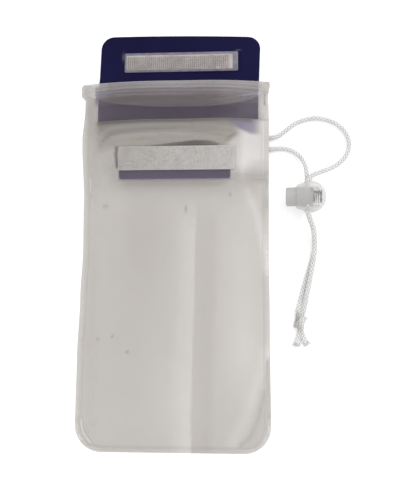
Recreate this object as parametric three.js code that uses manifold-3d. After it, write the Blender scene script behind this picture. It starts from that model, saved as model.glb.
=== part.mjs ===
// Waterproof phone pouch in welded clear film, lying on its back with the flap open.
// Millimetres. The pouch lies on z = 0, +y points to the flap and +x to the cord's side.
// The origin is under the middle of the pouch. Lengths named "up" run from the bottom edge along +y.
import * as THREE from 'three';
import { mergeVertices } from 'three/addons/utils/BufferGeometryUtils.js';
import Module from 'manifold-3d';

const wasm = await Module();
wasm.setup();

// Pouch
const BODY_WIDTH = 105;
const BODY_LENGTH = 201;
const CORNER_RADIUS = 14.5;
const FILM = 0.4;
const SEAM = 3;
const MOUTH_SEAM = 1.6;
const CLEARANCE = 0.3;
// How far each side pulls in from the flat width: [distance below the lip, pull]
const LEFT_PULL = [[201, 0.4], [151, 0.8], [121, 1.8], [93, 2.8], [65, 2.6], [32, 1.0], [14, 2.3],
  [9.5, 2.4], [6.5, 0.2], [2, 0], [0, 1.0]];
const RIGHT_PULL = [[201, 0], [141, 0.5], [91, 0.9], [51, 0.8], [21, 0.6], [8, 0.9], [2, 0], [0, 0.3]];

// Pocket, as the clear height between the two films
const PUFF = 6.2;
const NECK_GAP = 6;
const MOUTH_GAP = 8.4;
const BOTTOM_RUN = 36;
const LIFT_SQUEEZE = 0.4;
const MOUTH_DEPTH = 13;
const LIP_DIP = 1.1;
// Rows of points between the mouth's widest place and the lip, as distances below the lip
const MOUTH_ROWS = [9.5, 8, 6.5, 4, 1.6, 0];

// Flap
const FLAP_OUT = 27;
const FLAP_INSET = 8;
const FLAP_THICKNESS = 0.5;
const FLAP_LAP = 22;
const FLAP_CENTRE_X = 1.6;
const FLAP_CORNER = 7;
const FLAP_SKEW = 0.02;
const LIP_MARGIN = 1;
const LIP_STEP = 3;

// Tapes of the touch fastener
const TAPE_LENGTH = 63.4;
const TAPE_THICKNESS = 1.3;
const LOOP_TAPE_WIDTH = 13.2;
const LOOP_TAPE_X = 2.0;
const LOOP_TAPE_BELOW_LIP = 44.3;
const HOOK_TAPE_WIDTH = 11.2;
const HOOK_TAPE_X = 3.3;
const HOOK_TAPE_PAST_LIP = 12.2;
const TAPE_CORNER = 0.8;
const TAPE_BEVEL = 0.25;
const PLATEAU_Z = 8.6;
const PLATEAU_MARGIN = 1.4;
const SHOULDER_RUN = 12;
const PATCH_LENGTH = 60.2;
const PATCH_WIDTH = 15.2;
const PATCH_X = 0.9;
const PATCH_DROP = 3.7;
const PATCH_CORNER = 1.5;
const PATCH_THICKNESS = 0.4;

// Press seal
const STRIP_LEFT_INSET = 8;
const STRIP_RIGHT_INSET = 6.2;
const STRIP_BASE = 0.4;
const STRIP_BELOW_LIP = 1.8;
const GROOVE_STRIP_WIDTH = 9.8;
const TRACKS_BELOW_TOP = [1.9, 5.6];
const RIB_WIDTH = 0.8;
const RIB_HEIGHT = 0.9;
const RIB_FIT = 0.3;
const TRACK_WALL = 0.6;
const TRACK_HEIGHT = 0.9;
const CRIMP_RUN = 7;
const CRIMPED_HEIGHT = 0.02;
const RIB_STRIP_WIDTH = 13.6;
const RIB_STRIP_END_WIDTH = 6.8;
const LENS_X = 6;

// Cord and the strip that holds it
const CORD = 2.8;
const CORD_SIDES = 8;
const CORD_STEP = 5;
const EXIT_BELOW_LIP = 35.3;
const CORD_LIFT_HALF = 8;
const CORD_LIFT_RUN = 14.3;
const CORD_LIFT_INSET = 24.5;
const CORD_LIFT_RUN_X = 20;
const TAB_WIDTH = 8;
const TAB_INSET = 8;
const TAB_THICKNESS = 0.4;
const TAB_FLOOR_HALF = 6.7;
const TAB_WELD_HALF = 9.8;
const TAB_HALF = 13;
const PAIR_PITCH = 3.1;

// Cord lock, placed from the cord's exit
const BALL_RADIUS = 8.5;
const BALL_SIDES = 32;
const LOCK_X = 21.1;
const LOCK_Y = -30.7;
const BORE_RADIUS = 5.4;
const BORE_TO_X = 4.8;
const COLLAR_X = -7.4;
const COLLAR_RADIUS = 6.3;
const COLLAR_FROM_DEGREES = 124.2;
const SPRING_POCKET_RADIUS = 3.9;
const SPRING_POCKET_TO_X = 6.3;
const CORD_SLOT_X = -1.6;
const CORD_SLOT_WIDTH = 3.6;
const CORD_SLOT_HEIGHT = 6.6;
const SLOT_FLARE = 1.5;
const SLOT_FLARE_DEPTH = 2.6;
const PLUNGER_RADIUS = 5.1;
const PLUNGER_OUT = 5.6;
const PLUNGER_SLOT_LENGTH = 6.5;
const PLUNGER_WEB = 1.2;
const PLUNGER_EDGE = 0.9;
const EDGE_FACET = 0.27;
const SPRING_BOSS_RADIUS = 2.3;
const SPRING_BOSS_LENGTH = 0.8;
const SPRING_RADIUS = 3.2;
const SPRING_WIRE = 0.55;
const SPRING_TURNS = 3.5;
const STEPS_A_TURN = 12;

// Knot, placed from the cord's exit
const KNOT_X = 15.5;
const KNOT_Y = -96.8;
const KNOT_LENGTH = 9.8;
const KNOT_WIDTH = 6.4;
const KNOT_HEIGHT = 5.6;
const TAIL_TIP = 0.75;
const TAIL_SPREAD = 1.15;
// Each wrap's tilt in radians and its place along the knot
const KNOT_WRAPS = [[0.45, 1.5], [-0.5, -1.6]];

const TOTAL_LENGTH = BODY_LENGTH + FLAP_OUT;
const BOTTOM_Y = -TOTAL_LENGTH / 2;
const HALF_WIDTH = BODY_WIDTH / 2;
const FLAP_WIDTH = BODY_WIDTH - 2 * FLAP_INSET;
const FLAP_LOW_UP = BODY_LENGTH - FLAP_LAP;
const NECK_UP = FLAP_LOW_UP;
const MOUTH_UP = BODY_LENGTH - MOUTH_DEPTH;
const HOOK_TAPE_UP = BODY_LENGTH + HOOK_TAPE_PAST_LIP;
const LOOP_TAPE_UP = BODY_LENGTH - LOOP_TAPE_BELOW_LIP;
const PATCH_UP = LOOP_TAPE_UP - PATCH_DROP;
const STRIP_FROM_X = -HALF_WIDTH + STRIP_LEFT_INSET;
const STRIP_TO_X = HALF_WIDTH - STRIP_RIGHT_INSET;
const STRIP_TOP_UP = BODY_LENGTH - STRIP_BELOW_LIP;
const TRACK_UPS = TRACKS_BELOW_TOP.map((below) => STRIP_TOP_UP - below);
const CORD_EXIT_UP = BODY_LENGTH - EXIT_BELOW_LIP;
const CORD_LIFT_X = HALF_WIDTH - CORD_LIFT_INSET;
const LIFT_FROM_X = CORD_LIFT_X - CORD_LIFT_RUN_X;
const TAB_X = HALF_WIDTH - TAB_INSET;
const CORD_LIFT = TAB_THICKNESS + CORD + 2 * CLEARANCE;
const CORD_RADIUS = CORD / 2;
const CORD_TAB_Z = TAB_THICKNESS + CLEARANCE + CORD_RADIUS;
const PLATEAU_LOW_UP = PATCH_UP - PATCH_WIDTH / 2 - PLATEAU_MARGIN;
const PLATEAU_HIGH_UP = LOOP_TAPE_UP + LOOP_TAPE_WIDTH / 2 + PLATEAU_MARGIN;

// Cord route from the exit at the right edge: [x, y, height of the centre line], chosen by hand, first
// behind the pouch and then on the floor beside it
const LONG_ROUTE = [
  [-22.3, 0.2, 1.8], [-22.3, 1.4, 1.8], [-21.2, 3.8, 1.9], [-19.0, 5.4, 2.0], [-16.0, 5.9, CORD_TAB_Z],
  [-12.3, 5.4, CORD_TAB_Z], [-8.0, 4.2, CORD_TAB_Z], [-4.0, 3.3, CORD_TAB_Z], [0.1, 3.2, 1.8],
  [4.6, 4.5, 1.4], [8.8, 7.5, 1.4], [13.5, 11.1, 1.4], [19.1, 13.3, 1.4], [24.7, 14.0, 1.4],
  [30.3, 13.2, 1.4], [35.8, 10.7, 1.4], [39.9, 6.9, 1.5], [42.3, 1.8, 1.9], [42.4, -3.0, 2.6],
  [40.4, -8.0, 4.0], [36.4, -12.4, 5.8], [31.3, -15.6, 7.8], [26.0, -17.7, 9.4], [22.0, -19.7, 10.0],
  [19.9, -22.9, 10.05], [19.5, -26.8, 10.05],
];
const SHORT_ROUTE = [
  [-22.3, -0.2, 1.8], [-22.3, -1.4, 1.8], [-21.2, -3.8, 1.9], [-19.0, -5.4, 2.0], [-16.0, -5.9, CORD_TAB_Z],
  [-12.3, -5.4, CORD_TAB_Z], [-8.0, -4.2, CORD_TAB_Z], [-4.0, -3.4, CORD_TAB_Z], [0.1, -3.1, 1.8],
  [4.5, -2.7, 1.4], [8.9, -3.0, 1.4], [13.2, -4.8, 1.6], [16.6, -8.1, 2.6], [18.6, -12.4, 4.4],
  [19.3, -17.0, 6.3], [19.5, -21.8, 6.95], [19.5, -26.2, 6.95],
];
// Both strands below the lock: [x, y, height, roll of the pair in degrees]
const PAIR_ROUTE = [
  [19.5, -34.7, 8.5, 90], [19.7, -38.7, 8.4, 90], [21.0, -42.8, 7.5, 88], [22.6, -47.3, 5.6, 86],
  [23.4, -53.0, 3.8, 86], [23.1, -59.4, 3.1, 84], [21.6, -66.8, 3.0, 68], [19.6, -74.8, 2.7, 48],
  [17.8, -82.3, 2.4, 34], [16.5, -88.2, 2.1, 14], [15.6, -91.3, 2.4, 0],
];
const LEFT_TAIL = [[14.7, -99.2, 2.6], [14.1, -102.7, 1.9], [13.4, -105.7, 1.4], [12.6, -108.5, 1.2]];
const RIGHT_TAIL = [[16.3, -99.2, 2.6], [16.9, -102.7, 1.9], [17.8, -105.7, 1.4], [19.1, -108.3, 1.2]];

const FILM_FINISH = { color: 0xc8c4bc, roughness: 0.35, metalness: 0, transparent: true, opacity: 0.55 };
const SEAL_FINISH = { color: 0xbfbcb7, roughness: 0.4, metalness: 0, transparent: true, opacity: 0.75 };
const BLUE_FINISH = { color: 0x1e1a50, roughness: 0.4, metalness: 0 };
const TAPE_FINISH = { color: 0xb5b0ad, roughness: 0.95, metalness: 0 };
const CORD_FINISH = { color: 0xe6e4e2, roughness: 0.9, metalness: 0 };
const LOCK_FINISH = { color: 0xcac8c5, roughness: 0.25, metalness: 0, transparent: true, opacity: 0.6 };
const STEEL_FINISH = { color: 0x9a9996, roughness: 0.3, metalness: 1 };

const lerp = THREE.MathUtils.lerp;
const clamp = THREE.MathUtils.clamp;

function smooth(t) {
  const s = clamp(t, 0, 1);
  return s * s * (3 - 2 * s);
}

// A smooth value through a few [place, value] pairs
function through(pairs, place) {
  const last = pairs.length - 2;
  let k = 0;
  while (k < last && place > pairs[k + 1][0]) {
    k += 1;
  }
  const [fromPlace, fromValue] = pairs[k];
  const [toPlace, toValue] = pairs[k + 1];
  return lerp(fromValue, toValue, smooth((place - fromPlace) / (toPlace - fromPlace)));
}

function fromBottom(pulls) {
  return pulls.map(([belowLip, pull]) => [BODY_LENGTH - belowLip, pull]);
}

function spread(from, to, steps) {
  return Array.from({ length: steps + 1 }, (_, i) => lerp(from, to, i / steps));
}

function geometryOf(points, triangles) {
  const geometry = new THREE.BufferGeometry();
  geometry.setAttribute('position', new THREE.Float32BufferAttribute(points.flat(), 3));
  geometry.setIndex(triangles.flat());
  geometry.computeVertexNormals();
  return geometry;
}

// A sheet with thickness. rows[i][j] is { x, up, low, high }, i along +y and j along +x.
function sheet(rows) {
  const columns = rows[0].length;
  const count = rows.length * columns;
  const points = [];
  for (const side of ['high', 'low']) {
    for (const row of rows) {
      for (const spot of row) {
        points.push([spot.x, BOTTOM_Y + spot.up, spot[side]]);
      }
    }
  }
  const triangles = [];
  for (let i = 0; i + 1 < rows.length; i += 1) {
    for (let j = 0; j + 1 < columns; j += 1) {
      const a = i * columns + j;
      const b = a + 1;
      const c = a + columns + 1;
      const d = a + columns;
      triangles.push([a, b, c], [a, c, d]);
      triangles.push([count + a, count + c, count + b], [count + a, count + d, count + c]);
    }
  }
  const rim = [];
  for (let j = 0; j < columns - 1; j += 1) rim.push(j);
  for (let i = 0; i < rows.length - 1; i += 1) rim.push(i * columns + columns - 1);
  for (let j = columns - 1; j > 0; j -= 1) rim.push((rows.length - 1) * columns + j);
  for (let i = rows.length - 1; i > 0; i -= 1) rim.push(i * columns);
  rim.forEach((from, k) => {
    const to = rim[(k + 1) % rim.length];
    triangles.push([from, count + from, count + to], [from, count + to, to]);
  });
  return geometryOf(points, triangles);
}

// A closed body through rings of equally many points, with flat ends
function loft(rings) {
  const size = rings[0].length;
  const points = rings.flat();
  const triangles = [];
  for (let i = 0; i + 1 < rings.length; i += 1) {
    for (let j = 0; j < size; j += 1) {
      const a = i * size + j;
      const b = i * size + (j + 1) % size;
      triangles.push([a, b, b + size], [a, b + size, a + size]);
    }
  }
  const section = rings[0].map((p) => new THREE.Vector2(p[1], p[2]));
  const cap = THREE.ShapeUtils.triangulateShape(section, []);
  const end = (rings.length - 1) * size;
  for (const [a, b, c] of cap) {
    triangles.push([a, c, b], [end + a, end + b, end + c]);
  }
  return geometryOf(points, triangles);
}

// Turns a body inside out where its winding points inwards
function outward(geometry) {
  const position = geometry.getAttribute('position');
  const index = geometry.getIndex();
  const [a, b, c] = [new THREE.Vector3(), new THREE.Vector3(), new THREE.Vector3()];
  let volume = 0;
  for (let i = 0; i < index.count; i += 3) {
    a.fromBufferAttribute(position, index.getX(i));
    b.fromBufferAttribute(position, index.getX(i + 1));
    c.fromBufferAttribute(position, index.getX(i + 2));
    volume += a.dot(b.cross(c));
  }
  if (volume < 0) {
    for (let i = 0; i < index.count; i += 3) {
      const swap = index.getX(i + 1);
      index.setX(i + 1, index.getX(i + 2));
      index.setX(i + 2, swap);
    }
  }
  return geometry;
}

function merged(geometry) {
  const plain = geometry.clone();
  plain.deleteAttribute('normal');
  plain.deleteAttribute('uv');
  return outward(mergeVertices(plain, 1e-4));
}

function solidOf(geometry) {
  const whole = merged(geometry);
  return new wasm.Manifold(new wasm.Mesh({
    numProp: 3,
    vertProperties: new Float32Array(whole.getAttribute('position').array),
    triVerts: new Uint32Array(whole.getIndex().array),
  }));
}

function geometryFrom(solid) {
  const mesh = solid.getMesh();
  const geometry = new THREE.BufferGeometry();
  geometry.setAttribute('position', new THREE.Float32BufferAttribute(mesh.vertProperties, 3));
  geometry.setIndex(Array.from(mesh.triVerts));
  geometry.computeVertexNormals();
  return geometry;
}

function named(name, geometry, finish) {
  const mesh = new THREE.Mesh(geometry, new THREE.MeshStandardMaterial(finish));
  mesh.name = name;
  return mesh;
}

const leftPull = fromBottom(LEFT_PULL);
const rightPull = fromBottom(RIGHT_PULL);

// Outline of the welded body
function cornerInset(up) {
  if (up >= CORNER_RADIUS) {
    return 0;
  }
  const below = CORNER_RADIUS - up;
  return CORNER_RADIUS - Math.sqrt(CORNER_RADIUS ** 2 - below ** 2);
}

function leftEdge(up) {
  return -HALF_WIDTH + through(leftPull, up) + cornerInset(up);
}

function rightEdge(up) {
  return HALF_WIDTH - through(rightPull, up) - cornerInset(up);
}

function seamAt(up) {
  return lerp(SEAM, MOUTH_SEAM, smooth((up - NECK_UP) / (MOUTH_UP - NECK_UP)));
}

// The cord behind the right edge lifts both films
function lift(x, up) {
  const along = 1 - smooth((Math.abs(up - CORD_EXIT_UP) - CORD_LIFT_HALF) / CORD_LIFT_RUN);
  const across = smooth((x - LIFT_FROM_X) / CORD_LIFT_RUN_X);
  return CORD_LIFT * along * across;
}

// Curved films keep a clearance, and flat ones lie face to face
function curvedClearance(x, up) {
  return CLEARANCE * smooth(lift(x, up) / CLEARANCE);
}

// Clear height between the films along the middle of the pocket
function middleGap(up) {
  if (up > NECK_UP) {
    return lerp(NECK_GAP, MOUTH_GAP, smooth((up - NECK_UP) / (MOUTH_UP - NECK_UP)));
  }
  return PUFF * (1 - (1 - clamp((up - SEAM) / BOTTOM_RUN, 0, 1)) ** 3);
}

function plateauShare(x, up) {
  const outX = Math.max(Math.abs(x - LOOP_TAPE_X) - TAPE_LENGTH / 2 - PLATEAU_MARGIN, 0);
  const outUp = Math.max(PLATEAU_LOW_UP - up, up - PLATEAU_HIGH_UP, 0);
  return 1 - smooth(Math.hypot(outX, outUp) / SHOULDER_RUN);
}

// Underside of the front film
function frontLow(x, up) {
  const left = leftEdge(up) + seamAt(up);
  const right = rightEdge(up) - seamAt(up);
  const across = clamp((2 * x - left - right) / (right - left), -1, 1);
  const gap = middleGap(up) * (1 - Math.abs(across) ** 3);
  const raised = lift(x, up);
  const puffed = FILM + raised + gap * (1 - LIFT_SQUEEZE * raised / CORD_LIFT) + curvedClearance(x, up);
  return lerp(puffed, PLATEAU_Z, plateauShare(x, up));
}

// Heights up the body where both films have a row of points
function bodyRows() {
  const corner = spread(0, Math.PI / 2, 5).map((angle) => CORNER_RADIUS * (1 - Math.cos(angle)));
  const body = spread(CORNER_RADIUS, PLATEAU_LOW_UP - SHOULDER_RUN, 8).slice(1);
  const below = spread(PLATEAU_LOW_UP - SHOULDER_RUN, PLATEAU_LOW_UP, 3).slice(1);
  const plateau = spread(PLATEAU_LOW_UP, PLATEAU_HIGH_UP, 6).slice(1);
  const liftHigh = CORD_EXIT_UP + CORD_LIFT_HALF;
  const above = [...spread(PLATEAU_HIGH_UP, liftHigh, 2), ...spread(liftHigh, NECK_UP, 2).slice(1)].slice(1);
  const neck = spread(NECK_UP, MOUTH_UP, 3).slice(1);
  const mouth = MOUTH_ROWS.map((below) => BODY_LENGTH - below);
  return [...corner, SEAM, ...body, ...below, ...plateau, ...above, ...neck, ...mouth].sort((a, b) => a - b);
}

// The flat middle needs few points, and the lifted side more
const innerColumns = (from) => [...spread(from, LIFT_FROM_X, 2).slice(0, -1), ...spread(LIFT_FROM_X, CORD_LIFT_X, 4)];

function frontColumns(up) {
  const reach = TAPE_LENGTH / 2 + PLATEAU_MARGIN / 2;
  const left = leftEdge(up);
  const right = rightEdge(up);
  const seam = seamAt(up);
  return [
    left,
    ...spread(left + seam, LOOP_TAPE_X - reach, 3),
    ...spread(LOOP_TAPE_X - reach, LOOP_TAPE_X + reach, 8).slice(1),
    ...spread(LOOP_TAPE_X + reach, right - seam, 3).slice(1),
    right,
  ];
}

function backColumns(up) {
  const left = leftEdge(up);
  const right = rightEdge(up);
  const seam = seamAt(up);
  return [left, ...innerColumns(left + seam), right - seam, right];
}

function frontFilm() {
  return sheet(bodyRows().map((up) => frontColumns(up).map((x) => {
    const low = frontLow(x, up);
    const open = clamp((low - FILM) / MOUTH_GAP, 0, 1);
    const dip = LIP_DIP * open * smooth((up - STRIP_TOP_UP) / (BODY_LENGTH - STRIP_TOP_UP));
    return { x, up: up - dip, low, high: low + FILM };
  })));
}

function backFilm() {
  return sheet(bodyRows().map((up) => backColumns(up).map((x) => {
    const low = lift(x, up);
    return { x, up, low, high: low + FILM };
  })));
}

// Blue flap, welded inside the back film, out through the mouth and down to the floor
function flapSheet() {
  const length = TOTAL_LENGTH - MOUTH_UP;
  const inner = bodyRows().filter((up) => up > FLAP_LOW_UP + 1 && up < BODY_LENGTH);
  const top = TOTAL_LENGTH - FLAP_SKEW * (FLAP_WIDTH / 2 - FLAP_CORNER);
  const rounds = spread(0, Math.PI / 2, 5).map((angle) => top - FLAP_CORNER * (1 - Math.sin(angle)));
  const dropFrom = BODY_LENGTH + LIP_MARGIN;
  const ups = [FLAP_LOW_UP, ...inner, dropFrom, dropFrom + LIP_STEP, HOOK_TAPE_UP, ...rounds];
  return sheet(ups.map((up) => {
    const along = Math.max(up - MOUTH_UP, 0) / length;
    const over = Math.max(up - top + FLAP_CORNER, 0);
    const inset = FLAP_CORNER - Math.sqrt(Math.max(FLAP_CORNER ** 2 - over ** 2, 0));
    const centre = FLAP_CENTRE_X + FLAP_SKEW * along * length;
    const edge = FLAP_WIDTH / 2 - inset;
    const left = centre - edge;
    const right = centre + edge;
    const columns = [left, ...innerColumns(left + SEAM), right - SEAM, right];
    return columns.map((x) => {
      const onFilm = 1 - smooth((up - dropFrom) / LIP_STEP);
      const low = FILM * onFilm + lift(x, up) + curvedClearance(x, up);
      return { x, up: up - FLAP_SKEW * along * (x - centre), low, high: low + FLAP_THICKNESS };
    });
  }));
}

// A flat strip with rounded corners and a bevelled rim
function tape(length, width, thickness, corner, bevel) {
  const halfX = length / 2 - bevel;
  const halfY = width / 2 - bevel;
  const shape = new THREE.Shape();
  shape.moveTo(-halfX + corner, -halfY);
  shape.lineTo(halfX - corner, -halfY);
  shape.absarc(halfX - corner, -halfY + corner, corner, -Math.PI / 2, 0);
  shape.lineTo(halfX, halfY - corner);
  shape.absarc(halfX - corner, halfY - corner, corner, 0, Math.PI / 2);
  shape.lineTo(-halfX + corner, halfY);
  shape.absarc(-halfX + corner, halfY - corner, corner, Math.PI / 2, Math.PI);
  shape.lineTo(-halfX, -halfY + corner);
  shape.absarc(-halfX + corner, -halfY + corner, corner, Math.PI, 1.5 * Math.PI);
  const depth = thickness - 2 * bevel;
  const geometry = new THREE.ExtrudeGeometry(shape, {
    depth, curveSegments: 3, bevelEnabled: true, bevelThickness: bevel, bevelSize: bevel, bevelSegments: 1,
  });
  geometry.translate(0, 0, bevel);
  return merged(geometry);
}

function placed(mesh, x, up, z) {
  mesh.position.set(x, BOTTOM_Y + up, z);
  return mesh;
}

// How much of the seal's profile is left near its crimped ends
function crimp(x) {
  return smooth(Math.min(x - STRIP_FROM_X, STRIP_TO_X - x) / CRIMP_RUN);
}

function stripStations() {
  return spread(STRIP_FROM_X, STRIP_TO_X, 16);
}

// Grooved half of the press seal, on the flap sheet
function grooveStrip() {
  const floor = FILM + FLAP_THICKNESS;
  const inside = RIB_WIDTH / 2 + RIB_FIT;
  const outside = inside + TRACK_WALL;
  const rings = stripStations().map((x) => {
    const face = floor + STRIP_BASE;
    const wall = face + TRACK_HEIGHT * crimp(x) + CRIMPED_HEIGHT;
    const low = STRIP_TOP_UP - GROOVE_STRIP_WIDTH;
    const profile = [[low, floor], [STRIP_TOP_UP, floor], [STRIP_TOP_UP, face]];
    for (const track of TRACK_UPS) {
      profile.push([track + outside, face], [track + outside, wall], [track + inside, wall]);
      profile.push([track + inside, face], [track - inside, face], [track - inside, wall]);
      profile.push([track - outside, wall], [track - outside, face]);
    }
    profile.push([low, face]);
    return profile.map(([up, z]) => [x, BOTTOM_Y + up, z]);
  });
  return outward(loft(rings));
}

// Lower edge of the ribbed half: straight in the middle and bowed up to both side seams
function lensUp(x) {
  const reach = x < LENS_X ? LENS_X - STRIP_FROM_X : STRIP_TO_X - LENS_X;
  return STRIP_TOP_UP - lerp(RIB_STRIP_WIDTH, RIB_STRIP_END_WIDTH, Math.abs((x - LENS_X) / reach) ** 3);
}

// Ribbed half of the press seal, under the front film
function ribStrip() {
  const rings = stripStations().map((x) => {
    const roof = frontLow(x, MOUTH_UP) - CLEARANCE;
    const face = roof - STRIP_BASE;
    const tip = face - RIB_HEIGHT * crimp(x) - CRIMPED_HEIGHT;
    const lens = lensUp(x);
    const sag = frontLow(x, lens) - CLEARANCE - roof;
    const profile = [[lens, face + Math.min(sag, 0)]];
    for (const track of [...TRACK_UPS].reverse()) {
      profile.push([track - RIB_WIDTH / 2, face], [track - RIB_WIDTH / 2, tip]);
      profile.push([track + RIB_WIDTH / 2, tip], [track + RIB_WIDTH / 2, face]);
    }
    profile.push([STRIP_TOP_UP, face], [STRIP_TOP_UP, roof], [lens, roof + Math.min(sag, 0)]);
    return profile.map(([up, z]) => [x, BOTTOM_Y + up, z]);
  });
  return outward(loft(rings));
}

// Strip welded across behind the right edge, with the cord between it and the back film
function cordTab() {
  const halves = [0, TAB_FLOOR_HALF, TAB_WELD_HALF, TAB_HALF];
  const offsets = [...halves.slice(1).reverse().map((half) => -half), ...halves];
  return sheet(offsets.map((offset) => spread(TAB_X - TAB_WIDTH / 2, TAB_X + TAB_WIDTH / 2, 2).map((x) => {
    const up = CORD_EXIT_UP + offset;
    const onFloor = Math.abs(offset) <= TAB_FLOOR_HALF;
    const high = onFloor ? TAB_THICKNESS : lift(x, up) - CLEARANCE;
    return { x, up, low: high - TAB_THICKNESS, high };
  })));
}

// The two strands of the pair lie on either side of its centre line
function strandPoints(route, side) {
  const own = route.map((point) => new THREE.Vector3(...point));
  const pair = PAIR_ROUTE.map(([x, y, z, roll]) => {
    const angle = THREE.MathUtils.degToRad(roll);
    const half = side * PAIR_PITCH / 2;
    return new THREE.Vector3(x + half * Math.cos(angle), y, z + half * Math.sin(angle));
  });
  return [...own, ...pair];
}

function cordTube(points) {
  const path = new THREE.CatmullRomCurve3(points, false, 'centripetal');
  const section = new THREE.Shape(spread(0, 2 * Math.PI, CORD_SIDES).slice(1).map(
    (angle) => new THREE.Vector2(CORD_RADIUS * Math.cos(angle), CORD_RADIUS * Math.sin(angle)),
  ));
  const steps = Math.round(path.getLength() / CORD_STEP);
  return merged(new THREE.ExtrudeGeometry(section, { steps, bevelEnabled: false, extrudePath: path }));
}

function taperedTail(route) {
  const curve = new THREE.CatmullRomCurve3(route.map((point) => new THREE.Vector3(...point)));
  const steps = 4;
  const rings = spread(0, 1, steps).map((t) => {
    const centre = curve.getPoint(t);
    const flat = lerp(1, TAIL_TIP, t);
    return spread(0, 2 * Math.PI, CORD_SIDES).slice(1).map((angle) => [
      centre.x + CORD_RADIUS * Math.cos(angle) * lerp(1, TAIL_SPREAD, t),
      centre.y,
      centre.z + CORD_RADIUS * Math.sin(angle) * flat,
    ]);
  });
  return endCapped(rings);
}

// A closed body through rings that face along y
function endCapped(rings) {
  const turned = rings.map((ring) => ring.map(([x, y, z]) => [y, x, z]));
  const geometry = loft(turned);
  const position = geometry.getAttribute('position');
  for (let i = 0; i < position.count; i += 1) {
    position.setXY(i, position.getY(i), position.getX(i));
  }
  return outward(geometry);
}

// Overhand knot: two fat wraps round a core, with both tails below it
function cordKnot() {
  const centre = new THREE.Vector3(KNOT_X, KNOT_Y, KNOT_HEIGHT / 2);
  const core = new THREE.SphereGeometry(1, 12, 8);
  core.scale(KNOT_WIDTH / 2, KNOT_LENGTH / 2, KNOT_HEIGHT / 2);
  core.translate(centre.x, centre.y, centre.z);
  let knot = solidOf(core);
  const wrapRadius = KNOT_WIDTH / 2 - CORD_RADIUS / 2;
  for (const [tilt, shift] of KNOT_WRAPS) {
    const wrap = new THREE.TorusGeometry(wrapRadius, CORD_RADIUS, 8, 14);
    wrap.rotateX(Math.PI / 2);
    wrap.rotateZ(tilt);
    wrap.scale(1, 1, KNOT_HEIGHT / (KNOT_WIDTH + CORD_RADIUS));
    wrap.translate(centre.x, centre.y + shift, centre.z);
    knot = knot.add(solidOf(wrap));
  }
  for (const route of [LEFT_TAIL, RIGHT_TAIL]) {
    knot = knot.add(solidOf(taperedTail(route)));
  }
  return geometryFrom(knot);
}

// Turns a lathe profile of [radius, x] points about the x axis
function turned(profile, segments) {
  const geometry = new THREE.LatheGeometry(profile.map(([r, x]) => new THREE.Vector2(r, x)), segments);
  geometry.rotateZ(-Math.PI / 2);
  return geometry;
}

function slotRing(y, halfWidth, halfHeight, x) {
  const straight = Math.max(halfHeight - halfWidth, 0);
  return spread(0, 2 * Math.PI, 12).slice(1).map((angle) => {
    const round = Math.sin(angle);
    const end = Math.abs(round) < 1e-6 ? 0 : Math.sign(round) * straight;
    return [x + halfWidth * Math.cos(angle), y, end + halfWidth * round];
  });
}

// Cutter for the cross hole, flared where it leaves the ball
function cordSlotCutter() {
  const half = CORD_SLOT_WIDTH / 2;
  const tall = CORD_SLOT_HEIGHT / 2;
  const reach = BALL_RADIUS + 1;
  const flareFrom = BALL_RADIUS - SLOT_FLARE_DEPTH;
  const stations = [[-reach, SLOT_FLARE], [-flareFrom, 0], [flareFrom, 0], [reach, SLOT_FLARE]];
  return endCapped(stations.map(([y, flare]) => slotRing(y, half + flare, tall + flare, CORD_SLOT_X)));
}

function lockBarrel() {
  const collarFrom = THREE.MathUtils.degToRad(COLLAR_FROM_DEGREES);
  const profile = spread(0, collarFrom, 10).map(
    (angle) => [BALL_RADIUS * Math.sin(angle), BALL_RADIUS * Math.cos(angle)],
  );
  profile.push([COLLAR_RADIUS, COLLAR_X], [BORE_RADIUS, COLLAR_X], [BORE_RADIUS, BORE_TO_X]);
  profile.push([SPRING_POCKET_RADIUS, BORE_TO_X], [SPRING_POCKET_RADIUS, SPRING_POCKET_TO_X]);
  profile.push([0, SPRING_POCKET_TO_X]);
  const body = solidOf(turned(profile, BALL_SIDES));
  return geometryFrom(body.subtract(solidOf(cordSlotCutter())));
}

const plungerFaceX = COLLAR_X - PLUNGER_OUT;
const slotRightX = CORD_SLOT_X + CORD_RADIUS + CLEARANCE;
const plungerEndX = slotRightX + PLUNGER_WEB;

function lockPlunger() {
  const profile = [
    [0, plungerEndX + SPRING_BOSS_LENGTH], [SPRING_BOSS_RADIUS, plungerEndX + SPRING_BOSS_LENGTH],
    [SPRING_BOSS_RADIUS, plungerEndX], [PLUNGER_RADIUS, plungerEndX],
    [PLUNGER_RADIUS, plungerFaceX + PLUNGER_EDGE],
    [PLUNGER_RADIUS - EDGE_FACET, plungerFaceX + EDGE_FACET],
    [PLUNGER_RADIUS - PLUNGER_EDGE, plungerFaceX], [0, plungerFaceX],
  ];
  const body = solidOf(turned(profile, BALL_SIDES));
  const slot = new THREE.BoxGeometry(PLUNGER_SLOT_LENGTH, 4 * PLUNGER_RADIUS, CORD_SLOT_HEIGHT);
  slot.translate(slotRightX - PLUNGER_SLOT_LENGTH / 2, 0, 0);
  return geometryFrom(body.subtract(solidOf(slot)));
}

class Helix extends THREE.Curve {
  constructor(radius, from, to, turns) {
    super();
    Object.assign(this, { radius, from, to, turns });
  }

  getPoint(t, target = new THREE.Vector3()) {
    const angle = 2 * Math.PI * this.turns * t;
    return target.set(lerp(this.from, this.to, t), this.radius * Math.cos(angle), this.radius * Math.sin(angle));
  }
}

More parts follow.
